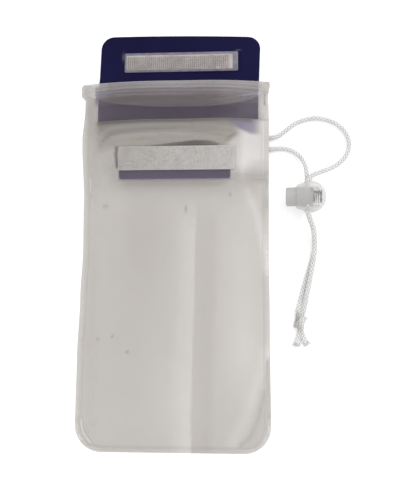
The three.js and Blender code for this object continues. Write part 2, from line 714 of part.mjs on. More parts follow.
function lockSpring() {
  const margin = CLEARANCE + SPRING_WIRE / 2;
  const path = new Helix(SPRING_RADIUS, plungerEndX + margin, SPRING_POCKET_TO_X - margin, SPRING_TURNS);
  const wire = new THREE.Shape();
  wire.absarc(0, 0, SPRING_WIRE / 2, 0, 2 * Math.PI);
  const steps = Math.round(STEPS_A_TURN * SPRING_TURNS);
  return merged(new THREE.ExtrudeGeometry(wire, { steps, curveSegments: 3, bevelEnabled: false, extrudePath: path }));
}

const pouch = new THREE.Group();
pouch.add(named('back_film', backFilm(), FILM_FINISH));
pouch.add(named('front_film', frontFilm(), FILM_FINISH));
pouch.add(named('flap_sheet', flapSheet(), BLUE_FINISH));
pouch.add(named('seal_groove_strip', grooveStrip(), SEAL_FINISH));
pouch.add(named('seal_rib_strip', ribStrip(), SEAL_FINISH));
pouch.add(named('cord_tab', cordTab(), FILM_FINISH));

const loopTape = tape(TAPE_LENGTH, LOOP_TAPE_WIDTH, TAPE_THICKNESS, TAPE_CORNER, TAPE_BEVEL);
pouch.add(placed(named('front_loop_tape', loopTape, TAPE_FINISH), LOOP_TAPE_X, LOOP_TAPE_UP, PLATEAU_Z + FILM));
const hookTape = tape(TAPE_LENGTH, HOOK_TAPE_WIDTH, TAPE_THICKNESS, TAPE_CORNER, TAPE_BEVEL);
pouch.add(placed(named('flap_hook_tape', hookTape, TAPE_FINISH), HOOK_TAPE_X, HOOK_TAPE_UP, FLAP_THICKNESS));
const patch = tape(PATCH_LENGTH, PATCH_WIDTH, PATCH_THICKNESS, PATCH_CORNER, PATCH_THICKNESS / 4);
const patchZ = PLATEAU_Z - PATCH_THICKNESS;
pouch.add(placed(named('tape_backing_patch', patch, BLUE_FINISH), PATCH_X, PATCH_UP, patchZ));

const carryingCord = new THREE.Group();
carryingCord.position.set(HALF_WIDTH, BOTTOM_Y + CORD_EXIT_UP, 0);
carryingCord.add(named('cord_long_strand', cordTube(strandPoints(LONG_ROUTE, 1)), CORD_FINISH));
carryingCord.add(named('cord_short_strand', cordTube(strandPoints(SHORT_ROUTE, -1)), CORD_FINISH));
carryingCord.add(named('cord_knot', cordKnot(), CORD_FINISH));
pouch.add(carryingCord);

const lock = new THREE.Group();
lock.position.set(LOCK_X, LOCK_Y, BALL_RADIUS);
lock.add(named('lock_barrel', lockBarrel(), LOCK_FINISH));
lock.add(named('lock_plunger', lockPlunger(), LOCK_FINISH));
lock.add(named('lock_spring', lockSpring(), STEEL_FINISH));
carryingCord.add(lock);

export default pouch;
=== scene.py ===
# Looks of a waterproof phone pouch in frosted clear film, with a blue flap, a braided cord and a cord lock.
# Meshes are worked out in millimetres and made in metres. "up" is the distance from the bottom edge.
import math

import bpy
import numpy as np
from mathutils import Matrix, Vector


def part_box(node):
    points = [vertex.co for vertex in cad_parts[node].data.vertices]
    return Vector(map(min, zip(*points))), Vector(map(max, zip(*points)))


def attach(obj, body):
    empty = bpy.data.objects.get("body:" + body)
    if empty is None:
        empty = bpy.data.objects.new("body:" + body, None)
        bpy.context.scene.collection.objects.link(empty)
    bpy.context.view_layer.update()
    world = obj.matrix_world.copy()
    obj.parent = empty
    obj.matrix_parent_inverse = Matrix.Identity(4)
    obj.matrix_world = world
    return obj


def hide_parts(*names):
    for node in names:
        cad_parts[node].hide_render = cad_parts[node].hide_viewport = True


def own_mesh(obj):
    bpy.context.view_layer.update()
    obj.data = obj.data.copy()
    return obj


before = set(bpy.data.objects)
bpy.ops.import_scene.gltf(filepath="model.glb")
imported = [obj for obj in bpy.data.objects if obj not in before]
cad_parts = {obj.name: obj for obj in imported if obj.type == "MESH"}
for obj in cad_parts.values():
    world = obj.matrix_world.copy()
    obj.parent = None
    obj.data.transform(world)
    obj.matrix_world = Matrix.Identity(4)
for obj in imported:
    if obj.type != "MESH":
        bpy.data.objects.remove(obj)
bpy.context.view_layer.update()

MM = 0.001
PHOTO_LONG_SIDE = 500
FOCAL_PIXELS = 840
SENSOR = 36

# Pouch sizes, as in the part
BODY_WIDTH = 105
BODY_LENGTH = 201
FLAP_OUT = 27
CORNER_RADIUS = 14.5
FILM = 0.4
SEAM = 3
MOUTH_SEAM = 1.6
CLEARANCE = 0.3
LEFT_PULL = [(201, 0.4), (151, 0.8), (121, 1.8), (93, 2.8), (65, 2.6), (32, 1), (14, 2.3),
             (9.5, 2.4), (6.5, 0.2), (2, 0), (0, 1)]
RIGHT_PULL = [(201, 0), (141, 0.5), (91, 0.9), (51, 0.8), (21, 0.6), (8, 0.9), (2, 0), (0, 0.3)]
PUFF = 6.2
NECK_GAP = 6
MOUTH_GAP = 8.4
BOTTOM_RUN = 36
LIFT_SQUEEZE = 0.4
FLAP_LAP = 22
MOUTH_DEPTH = 13
LIP_DIP = 1.1
STRIP_BELOW_LIP = 1.8
SHOULDER_RUN = 12
PLATEAU_MARGIN = 1.4
EXIT_BELOW_LIP = 35.3
CORD_LIFT = 3.8
CORD_LIFT_HALF = 8
CORD_LIFT_RUN = 14.3
CORD_LIFT_INSET = 24.5
CORD_LIFT_RUN_X = 20

TOTAL_LENGTH = BODY_LENGTH + FLAP_OUT
BOTTOM_Y = -TOTAL_LENGTH / 2
HALF_WIDTH = BODY_WIDTH / 2
NECK_UP = BODY_LENGTH - FLAP_LAP
MOUTH_UP = BODY_LENGTH - MOUTH_DEPTH
STRIP_TOP_UP = BODY_LENGTH - STRIP_BELOW_LIP
CORD_EXIT_UP = BODY_LENGTH - EXIT_BELOW_LIP
LIFT_FROM_X = HALF_WIDTH - CORD_LIFT_INSET - CORD_LIFT_RUN_X
EXIT = (HALF_WIDTH, BOTTOM_Y + CORD_EXIT_UP, 0)

# Cord
CORD = 2.8
PAIR_PITCH = 3.1
TAB_Z = 2.1
# Route points from the cord's exit at the right edge, as in the part
LONG_ROUTE = [
    (-22.3, 0.2, 1.8), (-22.3, 1.4, 1.8), (-21.2, 3.8, 1.9), (-19, 5.4, 2), (-16, 5.9, TAB_Z),
    (-12.3, 5.4, TAB_Z), (-8, 4.2, TAB_Z), (-4, 3.3, TAB_Z), (0.1, 3.2, 1.8),
    (4.6, 4.5, 1.4), (8.8, 7.5, 1.4), (13.5, 11.1, 1.4), (19.1, 13.3, 1.4), (24.7, 14, 1.4),
    (30.3, 13.2, 1.4), (35.8, 10.7, 1.4), (39.9, 6.9, 1.5), (42.3, 1.8, 1.9), (42.4, -3, 2.6),
    (40.4, -8, 4), (36.4, -12.4, 5.8), (31.3, -15.6, 7.8), (26, -17.7, 9.4), (22, -19.7, 10),
    (19.9, -22.9, 10.05), (19.5, -26.8, 10.05),
]
SHORT_ROUTE = [
    (-22.3, -0.2, 1.8), (-22.3, -1.4, 1.8), (-21.2, -3.8, 1.9), (-19, -5.4, 2), (-16, -5.9, TAB_Z),
    (-12.3, -5.4, TAB_Z), (-8, -4.2, TAB_Z), (-4, -3.4, TAB_Z), (0.1, -3.1, 1.8),
    (4.5, -2.7, 1.4), (8.9, -3, 1.4), (13.2, -4.8, 1.6), (16.6, -8.1, 2.6), (18.6, -12.4, 4.4),
    (19.3, -17, 6.3), (19.5, -21.8, 6.95), (19.5, -26.2, 6.95),
]
# Middle between both strands from the lock to the knot, with the turn of the pair in degrees
PAIR_ROUTE = [
    (19.5, -34.7, 8.5, 90), (19.7, -38.7, 8.4, 90), (21, -42.8, 7.5, 88), (22.6, -47.3, 5.6, 86),
    (23.4, -53, 3.8, 86), (23.1, -59.4, 3.1, 84), (21.6, -66.8, 3, 68), (19.6, -74.8, 2.7, 48),
    (17.8, -82.3, 2.4, 34), (16.5, -88.2, 2.1, 14), (15.6, -91.3, 2.4, 0),
]
# The braid: yarns in each direction, the length of one turn, and the form of a yarn
CARRIERS = 4
BRAID_PITCH = 8.4
BRAID_STEP = 0.26
BRAID_SIDES = 6
YARN_WIDTH = 0.46
YARN_HEIGHT = 0.34
YARN_MIDDLE = 0.83
YARN_SWAY = 0.23

# Seam, tapes and flap
SEAM_COLUMNS = [0, 0.35, 0.7, 1.2, 1.8, 2.4, 2.8, 3.1, 3.35, 3.6, 3.9, 4.4, 5.2]
BEAD_AT = 0.35
BEAD_WIDTH = 0.4
FLAP_INSET = 8
FLAP_THICKNESS = 0.5
FLAP_CENTRE_X = 1.6
FLAP_CORNER = 7
FLAP_SKEW = 0.02
FLAP_ARCH = 0.5
FLAP_RISE = 1.1
FLAP_SHIFT = 0.6
LIP_MARGIN = 1
LIP_STEP = 3
PRESS_AT = 0.7
PRESS_WIDTH = 0.6
PRESS_DEPTH = 0.3
HOOK_PITCH_X = 1.15
HOOK_PITCH_Y = 0.56
HOOK_BORDER = 1
HOOK_END = 3
LOOPS_PER_SQUARE = 4.6
LOOP_RADIUS = 0.26
LOOP_HEIGHT = 0.35
LOOP_WIRE = 0.06

RANDOM = np.random.default_rng(7)


def smooth(t):
    s = np.clip(t, 0, 1)
    return s * s * (3 - 2 * s)


def within(place, low, low_run, high, high_run):
    """1 between two limits and 0 outside them, with a soft run inside each."""
    return smooth((place - low) / low_run) * smooth((high - place) / high_run)


def bump(distance, width):
    return np.exp(-(distance / width) ** 2)


def level(pairs, place):
    """A value by straight steps through (place, value) pairs."""
    return np.interp(place, *zip(*pairs))


def through(pairs, place):
    """A smooth value through a few (place, value) pairs."""
    value = np.full(np.shape(place), float(pairs[0][1]))
    for (from_place, from_value), (to_place, to_value) in zip(pairs, pairs[1:]):
        share = smooth((place - from_place) / (to_place - from_place))
        value = np.where(place >= from_place, from_value + (to_value - from_value) * share, value)
    return value


# Outline and heights of the films, as in the part

def corner_inset(up):
    below = np.clip(CORNER_RADIUS - up, 0, CORNER_RADIUS)
    return CORNER_RADIUS - np.sqrt(CORNER_RADIUS ** 2 - below ** 2)


def pull(pulls, up):
    return through([(BODY_LENGTH - below, amount) for below, amount in pulls], up)


def left_edge(up):
    return -HALF_WIDTH + pull(LEFT_PULL, up) + corner_inset(up)


def right_edge(up):
    return HALF_WIDTH - pull(RIGHT_PULL, up) - corner_inset(up)


def seam_at(up):
    return SEAM + (MOUTH_SEAM - SEAM) * smooth((up - NECK_UP) / (MOUTH_UP - NECK_UP))


def lift(x, up):
    along = 1 - smooth((np.abs(up - CORD_EXIT_UP) - CORD_LIFT_HALF) / CORD_LIFT_RUN)
    across = smooth((x - LIFT_FROM_X) / CORD_LIFT_RUN_X)
    return CORD_LIFT * along * across


def curved_clearance(x, up):
    return CLEARANCE * smooth(lift(x, up) / CLEARANCE)


def middle_gap(up):
    body = PUFF * (1 - (1 - np.clip((up - SEAM) / BOTTOM_RUN, 0, 1)) ** 3)
    neck = NECK_GAP + (MOUTH_GAP - NECK_GAP) * smooth((up - NECK_UP) / (MOUTH_UP - NECK_UP))
    return np.where(up > NECK_UP, neck, body)


def up_of(y_metres):
    return y_metres / MM - BOTTOM_Y


def box_mm(node):
    low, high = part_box(node)
    return (low[0] / MM, up_of(low[1]), low[2] / MM), (high[0] / MM, up_of(high[1]), high[2] / MM)


TAPE_LOW, TAPE_HIGH = box_mm("front_loop_tape")
HOOK_LOW, HOOK_HIGH = box_mm("flap_hook_tape")
PATCH_LOW, PATCH_HIGH = box_mm("tape_backing_patch")
PLATEAU_Z = TAPE_LOW[2] - FILM


def rectangle_distance(x, up, low, high):
    """Distance outside a rectangle, below 0 inside it."""
    out_x = np.maximum(low[0] - x, x - high[0])
    out_up = np.maximum(low[1] - up, up - high[1])
    outside = np.hypot(np.maximum(out_x, 0), np.maximum(out_up, 0))
    return outside + np.minimum(np.maximum(out_x, out_up), 0)


def plateau_share(x, up):
    low = (TAPE_LOW[0] - PLATEAU_MARGIN, PATCH_LOW[1] - PLATEAU_MARGIN)
    high = (TAPE_HIGH[0] + PLATEAU_MARGIN, TAPE_HIGH[1] + PLATEAU_MARGIN)
    return 1 - smooth(rectangle_distance(x, up, low, high) / SHOULDER_RUN)


def front_low(x, up):
    left = left_edge(up) + seam_at(up)
    right = right_edge(up) - seam_at(up)
    across = np.clip((2 * x - left - right) / (right - left), -1, 1)
    gap = middle_gap(up) * (1 - np.abs(across) ** 3)
    raised = lift(x, up)
    puffed = FILM + raised + gap * (1 - LIFT_SQUEEZE * raised / CORD_LIFT) + curved_clearance(x, up)
    share = plateau_share(x, up)
    return puffed * (1 - share) + PLATEAU_Z * share


def edge_distance(x, up):
    """How far a place on the body lies inside its outline."""
    plain_left = -HALF_WIDTH + pull(LEFT_PULL, up)
    plain_right = HALF_WIDTH - pull(RIGHT_PULL, up)
    distance = np.minimum(np.minimum(x - plain_left, plain_right - x), up)
    for side, centre in ((-1, plain_left + CORNER_RADIUS), (1, plain_right - CORNER_RADIUS)):
        in_corner = (side * (x - centre) > 0) & (up < CORNER_RADIUS)
        round_part = CORNER_RADIUS - np.hypot(x - centre, up - CORNER_RADIUS)
        distance = np.where(in_corner, round_part, distance)
    return distance


def line_distance(x, up, points):
    """Distance to a line through a few points."""
    nearest = np.full(np.shape(x), 1e9)
    for (ax, ay), (bx, by) in zip(points, points[1:]):
        dx, dy = bx - ax, by - ay
        share = np.clip(((x - ax) * dx + (up - ay) * dy) / (dx * dx + dy * dy), 0, 1)
        nearest = np.minimum(nearest, np.hypot(x - ax - share * dx, up - ay - share * dy))
    return nearest


# Mesh making

def new_object(name, points_mm, faces, material):
    points = np.asarray(points_mm, dtype=float).reshape(-1, 3) * MM
    mesh = bpy.data.meshes.new(name)
    mesh.from_pydata(points.tolist(), [], [tuple(int(i) for i in face) for face in faces])
    mesh.validate()
    mesh.update()
    mesh.polygons.foreach_set("use_smooth", [True] * len(mesh.polygons))
    mesh.materials.append(material)
    thing = bpy.data.objects.new(name, mesh)
    bpy.context.scene.collection.objects.link(thing)
    return thing


def grid_faces(rows, columns, start=0, flip=False):
    i, j = np.meshgrid(np.arange(rows - 1), np.arange(columns - 1), indexing="ij")
    a = start + (i * columns + j).ravel()
    faces = np.stack([a, a + 1, a + columns + 1, a + columns], axis=1)
    return faces[:, ::-1] if flip else faces


def ring_faces(count, size, start=0):
    """Quads between closed rings of points, one ring after another."""
    i, j = np.meshgrid(np.arange(count - 1), np.arange(size), indexing="ij")
    a = start + (i * size + j).ravel()
    b = start + (i * size + (j + 1) % size).ravel()
    return np.stack([a, b, b + size, a + size], axis=1).tolist()


def shell(name, x, up, low, high, material, marks):
    """A closed sheet between two height fields over a grid of places."""
    rows, columns = x.shape
    count = rows * columns
    sides = [np.stack([x, BOTTOM_Y + up, z], axis=-1).reshape(-1, 3) for z in (high, low)]
    faces = [*grid_faces(rows, columns), *grid_faces(rows, columns, count, True)]
    rim = list(range(columns - 1))
    rim += [i * columns + columns - 1 for i in range(rows - 1)]
    rim += [(rows - 1) * columns + j for j in range(columns - 1, 0, -1)]
    rim += [i * columns for i in range(rows - 1, 0, -1)]
    for start, end in zip(rim, rim[1:] + rim[:1]):
        faces.append((start, count + start, count + end, end))
    thing = new_object(name, np.concatenate(sides), faces, material)
    for mark, values in marks.items():
        set_mark(thing, mark, np.tile(np.ravel(values), 2))
    return thing


def set_mark(thing, mark, values):
    """Gives each point of a piece a value that its material reads."""
    layer = thing.data.attributes.new(mark, "FLOAT", "POINT")
    layer.data.foreach_set("value", np.asarray(values, dtype=float))


def rings_object(name, rings, material):
    """A closed body through rings of points, with a face at each end."""
    rings = np.asarray(rings, dtype=float)
    count, size = rings.shape[:2]
    faces = ring_faces(count, size)
    faces.append(list(range(size - 1, -1, -1)))
    faces.append([(count - 1) * size + j for j in range(size)])
    return new_object(name, rings.reshape(-1, 3), faces, material)


def select(things):
    bpy.ops.object.select_all(action="DESELECT")
    for thing in things:
        thing.select_set(True)
    bpy.context.view_layer.objects.active = things[0]


def joined(name, things):
    select(things)
    bpy.ops.object.join()
    things[0].name = name
    things[0].data.name = name
    return things[0]


def points_mm(thing):
    return np.array([tuple(point.co) for point in thing.data.vertices]) / MM


def stand_in(thing, node, body="pouch"):
    """Lets a piece stand for a node of the part and on its body."""
    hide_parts(node)
    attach(thing, body)
    return thing


# Camera and cord

def make_camera():
    data = bpy.data.cameras.new("camera")
    data.sensor_width = SENSOR
    data.lens = SENSOR * FOCAL_PIXELS / PHOTO_LONG_SIDE
    data.clip_start = 0.01
    camera = bpy.data.objects.new("camera", data)
    camera.location = (0.0485, -0.0618, 0.4503)
    camera.rotation_euler = (math.radians(7.04), math.radians(4.29), math.radians(0.33))
    bpy.context.scene.collection.objects.link(camera)
    bpy.context.scene.camera = camera


def distances(path):
    """Distance along a path at each of its points."""
    return np.concatenate([[0], np.cumsum(np.linalg.norm(np.diff(path, axis=0), axis=1))])


def centripetal(points, spacing):
    """Places a spacing apart on a centripetal Catmull-Rom curve through the points."""
    points = np.asarray(points, dtype=float)
    padded = np.vstack([2 * points[0] - points[1], points, 2 * points[-1] - points[-2]])
    dense = []
    for k in range(1, len(padded) - 2):
        p0, p1, p2, p3 = padded[k - 1:k + 3]
        d1, d2, d3 = (max(np.linalg.norm(b - a), 1e-6) ** 0.5 for a, b in ((p0, p1), (p1, p2), (p2, p3)))
        t1 = (p1 - p0) / d1 - (p2 - p0) / (d1 + d2) + (p2 - p1) / d2
        t2 = (p2 - p1) / d2 - (p3 - p1) / (d2 + d3) + (p3 - p2) / d3
        t1 *= d2
        t2 *= d2
        for t in np.linspace(0, 1, 24, endpoint=False):
            c = t * t * (3 - 2 * t)
            dense.append((1 - c) * p1 + (t ** 3 - 2 * t ** 2 + t) * t1 + c * p2 + (t ** 3 - t ** 2) * t2)
    dense = np.array([*dense, points[-1]])
    lengths = distances(dense)
    count = max(int(round(lengths[-1] / spacing)), 2)
    places = np.linspace(0, lengths[-1], count + 1)
    return np.stack([np.interp(places, lengths, dense[:, axis]) for axis in range(3)], axis=1)


def carried_axes(path):
    """Two axes across the path at each point, carried along it without twist."""
    tangents = np.gradient(path, axis=0)
    tangents /= np.linalg.norm(tangents, axis=1)[:, None]
    first = np.cross(tangents[0], (0, 0, 1))
    if np.linalg.norm(first) < 0.1:
        first = np.cross(tangents[0], (1, 0, 0))
    axes = []
    for tangent in tangents:
        first = first - tangent * np.dot(first, tangent)
        first = first / np.linalg.norm(first)
        axes.append((first, np.cross(tangent, first)))
    return tangents, np.array(axes)


def tube_rings(path, radius, sides):
    """Rings of a tube. The radius may differ from ring to ring."""
    _, axes = carried_axes(path)
    angles = np.linspace(0, 2 * math.pi, sides, endpoint=False)
    radii = np.broadcast_to(radius, (len(path),))[:, None, None]
    around = np.cos(angles)[None, :, None] * axes[:, 0][:, None, :]
    across = np.sin(angles)[None, :, None] * axes[:, 1][:, None, :]
    return path[:, None, :] + radii * (around + across)


def braid(name, path, material, radius=CORD / 2):
    """A round braid of carriers that pass over and under each other along the path."""
    _, axes = carried_axes(path)
    turn = 2 * math.pi * distances(path) / BRAID_PITCH
    scale = np.broadcast_to(radius / (CORD / 2), (len(path),))[:, None]
    around = np.linspace(0, 2 * math.pi, BRAID_SIDES, endpoint=False)
    points, faces, depths = [], [], []
    for direction in (1, -1):
        for k in range(CARRIERS):
            angle = direction * turn + 2 * math.pi * k / CARRIERS
            sway = direction * np.cos(CARRIERS * turn)[:, None]
            outward = np.cos(angle)[:, None] * axes[:, 0] + np.sin(angle)[:, None] * axes[:, 1]
            centre = path + scale * (YARN_MIDDLE + YARN_SWAY * sway) * outward
            side = np.cross(np.gradient(centre, axis=0), outward)
            side /= np.linalg.norm(side, axis=1)[:, None]
            rings = [centre + scale * (YARN_WIDTH * math.cos(a) * side + YARN_HEIGHT * math.sin(a) * outward)
                     for a in around]
            start = len(points) * len(path) * BRAID_SIDES
            end = start + (len(path) - 1) * BRAID_SIDES
            points.append(np.stack(rings, axis=1).reshape(-1, 3))
            # Painted shade: darker where a yarn dips under the others and on its side towards the cord's
            # middle
            depths.append(((1 - sway) / 2 * (0.75 - 0.25 * np.sin(around))).ravel())
            faces += ring_faces(len(path), BRAID_SIDES, start)
            faces.append([start + j for j in range(BRAID_SIDES - 1, -1, -1)])
            faces.append([end + j for j in range(BRAID_SIDES)])
    thing = new_object(name, np.concatenate(points), faces, material)
    set_mark(thing, "deep", np.concatenate(depths))
    return thing


def strand_points(route, side):
    points = list(route)
    for x, y, z, roll in PAIR_ROUTE:
        angle = math.radians(roll)
        half = side * PAIR_PITCH / 2
        points.append((x + half * math.cos(angle), y, z + half * math.sin(angle)))
    return (np.array(points) + EXIT).tolist()


def make_cords(material, knot):
    for name, node, route, side in (
        ("braided_long_strand", "cord_long_strand", LONG_ROUTE, 1),
        ("braided_short_strand", "cord_short_strand", SHORT_ROUTE, -1),
    ):
        points = strand_points(route, side)
        strand = stand_in(braid(name, centripetal(points, BRAID_STEP), material), node)
        length = float(distances(centripetal(points, 1))[-1]) * MM
        path = (centripetal(points, 1.5) * MM).tolist()


# Materials

class Nodes:
    """A short way to write a material's nodes."""

    def __init__(self, name):
        self.material = bpy.data.materials.new(name)
        self.material.use_nodes = True
        self.tree = self.material.node_tree
        self.shader = self.tree.nodes["Principled BSDF"]
        self.coordinates = self.put("ShaderNodeTexCoord").outputs["Object"]

    def link(self, socket, value):
        if isinstance(value, bpy.types.NodeSocket):
            self.tree.links.new(value, socket)
        else:
            socket.default_value = (*value, 1) if isinstance(value, tuple) else value

    def feed(self, node, inputs):
        for key, value in inputs.items():
            self.link(node.inputs[key.replace("_", " ")], value)

    def put(self, kind, **inputs):
        node = self.tree.nodes.new(kind)
        self.feed(node, inputs)
        return node

    def base(self, **inputs):
        self.feed(self.shader, inputs)

    def mark(self, name):
        node = self.put("ShaderNodeAttribute")
        node.attribute_name = name
        return node.outputs["Fac"]

    def noise(self, scale, detail=3, roughness=0.5):
        node = self.put("ShaderNodeTexNoise", Vector=self.coordinates,
                        Scale=scale, Detail=detail, Roughness=roughness)
        return node.outputs["Fac"]

    def ramp(self, value, low, high, top=0.7):
        """A colour that goes from low to high between 0.3 and the top."""
        node = self.put("ShaderNodeValToRGB", Fac=value)
        for element, place, colour in zip(node.color_ramp.elements, (0.3, top), (low, high)):
            element.position = place
            element.color = (*colour, 1)
        return node.outputs["Color"]

    def math(self, operation, first, *others):
        """The values taken together, one after another."""
        result = first
        for value in others:
            node = self.put("ShaderNodeMath")
            node.operation = operation
            self.link(node.inputs[0], result)
            self.link(node.inputs[1], value)
            result = node.outputs["Value"]
        return result

    def spread(self, value, low, high):
        return self.put("ShaderNodeMapRange", Value=value, To_Min=low, To_Max=high).outputs["Result"]

    def mix(self, share, a, b):
        node = self.put("ShaderNodeMix")
        node.data_type = "RGBA"
        self.feed(node, {"Factor": share, "A": a, "B": b})
        return node.outputs["Result"]

    def bump(self, height, strength, distance):
        node = self.put("ShaderNodeBump", Height=height, Strength=strength, Distance=distance)
        self.base(Normal=node.outputs["Normal"])


# Share of the film's shadow that is kept, and how strongly its faint and strong marks make it opaque
FILM_SHADOW = 0.3
FAINT_ALPHA = 0.45
STRONG_ALPHA = 0.75
# Colours of the marks: the white of painted highlights, the veil of painted glare, painted shade, the navy
# seen through, and the dark of specks and painted shadows
HIGHLIGHT_WHITE = (0.80, 0.79, 0.795)
GLARE_VEIL = (0.69, 0.675, 0.67)
SHADED = (0.215, 0.203, 0.192)
NAVY_TINT = (0.10, 0.085, 0.25)
DIRT_AND_SHADOW = (0.085, 0.075, 0.065)


def toned(colour, factor):
    return tuple(part * factor for part in colour)


def film_material(name, haze, alpha):
    """Frosted film. The mark "cover" lays a milky painted glare over it, "light" paints highlights and below
    0 leaves it clearer, "shade" paints shade, "dark" paints shadows and the dark of specks, and "blue" tints
    it."""
    nodes = Nodes(name)
    cloud = nodes.noise(55, 4, 0.55)
    plain = nodes.ramp(cloud, toned(haze, 0.95), toned(haze, 1.05))
    light, shade, dark, blue, cover = map(nodes.mark, ("light", "shade", "dark", "blue", "cover"))
    lit = nodes.mix(light, nodes.mix(shade, nodes.mix(cover, plain, GLARE_VEIL), SHADED), HIGHLIGHT_WHITE)
    faint = nodes.math("MULTIPLY", nodes.math("ADD", light, blue), FAINT_ALPHA)
    strong = nodes.math("MULTIPLY", nodes.math("ADD", shade, dark, cover), STRONG_ALPHA)
    solid = nodes.math("ADD", nodes.math("MULTIPLY", nodes.spread(cloud, 0.94, 1.06), alpha), faint, strong)
    solid = nodes.math("MINIMUM", nodes.math("MAXIMUM", solid, 0.03), 0.95)
    shadow = nodes.put("ShaderNodeLightPath").outputs["Is Shadow Ray"]
    nodes.base(Base_Color=nodes.mix(dark, nodes.mix(blue, lit, NAVY_TINT), DIRT_AND_SHADOW),
               Alpha=nodes.math("MULTIPLY", solid, nodes.spread(shadow, 1, FILM_SHADOW)),
               Roughness=nodes.spread(nodes.noise(900, 2), 0.26, 0.36),
               IOR=1.5, Coat_Weight=0.12, Coat_Roughness=0.2)
    nodes.bump(cloud, 0.2, 0.0004)
    return nodes.material


def blue_material():
    """Navy film, whitened with painted highlights where its mark is set."""
    nodes = Nodes("navy_film")
    grain = nodes.noise(1400, 2)
    navy = nodes.ramp(nodes.noise(40), (0.0058, 0.0050, 0.031), (0.0088, 0.0080, 0.047), 0.75)
    nodes.base(Base_Color=nodes.mix(nodes.mark("painted_highlight"), navy, (0.30, 0.28, 0.40)),
               Roughness=nodes.spread(grain, 0.4, 0.5), Specular_IOR_Level=0.06)
    nodes.bump(grain, 0.12, 0.0002)
    return nodes.material


def tape_material(name, low, high, rough):
    """Woven tape with a soft pile, lightened by painted glare where its mark is set."""
    nodes = Nodes(name)
    fuzz = nodes.noise(2600, 3, 0.7)
    shade = nodes.ramp(nodes.noise(190, 4, 0.6), low, high)
    worn = nodes.mix(nodes.spread(fuzz, 0, 0.2), shade, toned(low, 0.75))
    nodes.base(Base_Color=nodes.mix(nodes.mark("painted_glare"), worn, (0.78, 0.76, 0.74)),
               Roughness=0.95, Sheen_Weight=0.25, Sheen_Roughness=0.5)
    nodes.bump(fuzz, rough, 0.0002)
    return nodes.material


def welded_material():
    """The tape's own edge, melted smooth in the weld."""
    nodes = Nodes("welded_edge")
    cloud = nodes.noise(300)
    nodes.base(Base_Color=nodes.ramp(cloud, (0.115, 0.105, 0.15), (0.19, 0.17, 0.22)),
               Roughness=nodes.spread(cloud, 0.22, 0.4), Coat_Weight=0.4, Coat_Roughness=0.15)
    nodes.bump(cloud, 0.3, 0.0003)
    return nodes.material


def cord_material():
    """White braid. The mark "deep" paints shade into the crevices and on the yarns' inner sides, and "dirt"
    soils the yarn.
    """
    nodes = Nodes("white_braid")
    fibres = nodes.noise(4200, 2, 0.7)
    clean = nodes.ramp(nodes.noise(260), (0.84, 0.835, 0.825), (0.92, 0.915, 0.905))
    worn = nodes.mix(nodes.spread(fibres, 0, 0.12), clean, (0.6, 0.59, 0.58))
    soiled = nodes.mix(nodes.mark("dirt"), worn, (0.52, 0.495, 0.47))
    nodes.base(Base_Color=nodes.mix(nodes.mark("deep"), soiled, (0.16, 0.155, 0.15)),
               Roughness=0.75, Sheen_Weight=0.2, Sheen_Roughness=0.4)
    nodes.bump(fibres, 0.5, 0.00012)
    return nodes.material


def lock_material(name, colour, alpha):
    """Milky moulded plastic, clearer face on than along its edges. The mark "clear" thins it."""
    nodes = Nodes(name)
    cloud = nodes.noise(160)
    edge = nodes.put("ShaderNodeLayerWeight", Blend=0.35).outputs["Facing"]
    solid = nodes.spread(edge, alpha, min(alpha * 2.4, 1))
    nodes.base(Base_Color=nodes.ramp(cloud, toned(colour, 0.92), colour),
               Alpha=nodes.math("MULTIPLY", solid, nodes.spread(nodes.mark("clear"), 1, 0.3)),
               Roughness=nodes.spread(nodes.noise(2000, 2), 0.10, 0.16),
               IOR=1.48, Coat_Weight=0.4, Coat_Roughness=0.05)
    nodes.bump(cloud, 0.08, 0.0002)
    return nodes.material


def steel_material():
    nodes = Nodes("spring_steel")
    drawn = nodes.noise(900, 2)
    nodes.base(Base_Color=nodes.ramp(drawn, (0.16, 0.155, 0.15), (0.40, 0.39, 0.38)),
               Metallic=1, Roughness=nodes.spread(drawn, 0.2, 0.35))
    return nodes.material
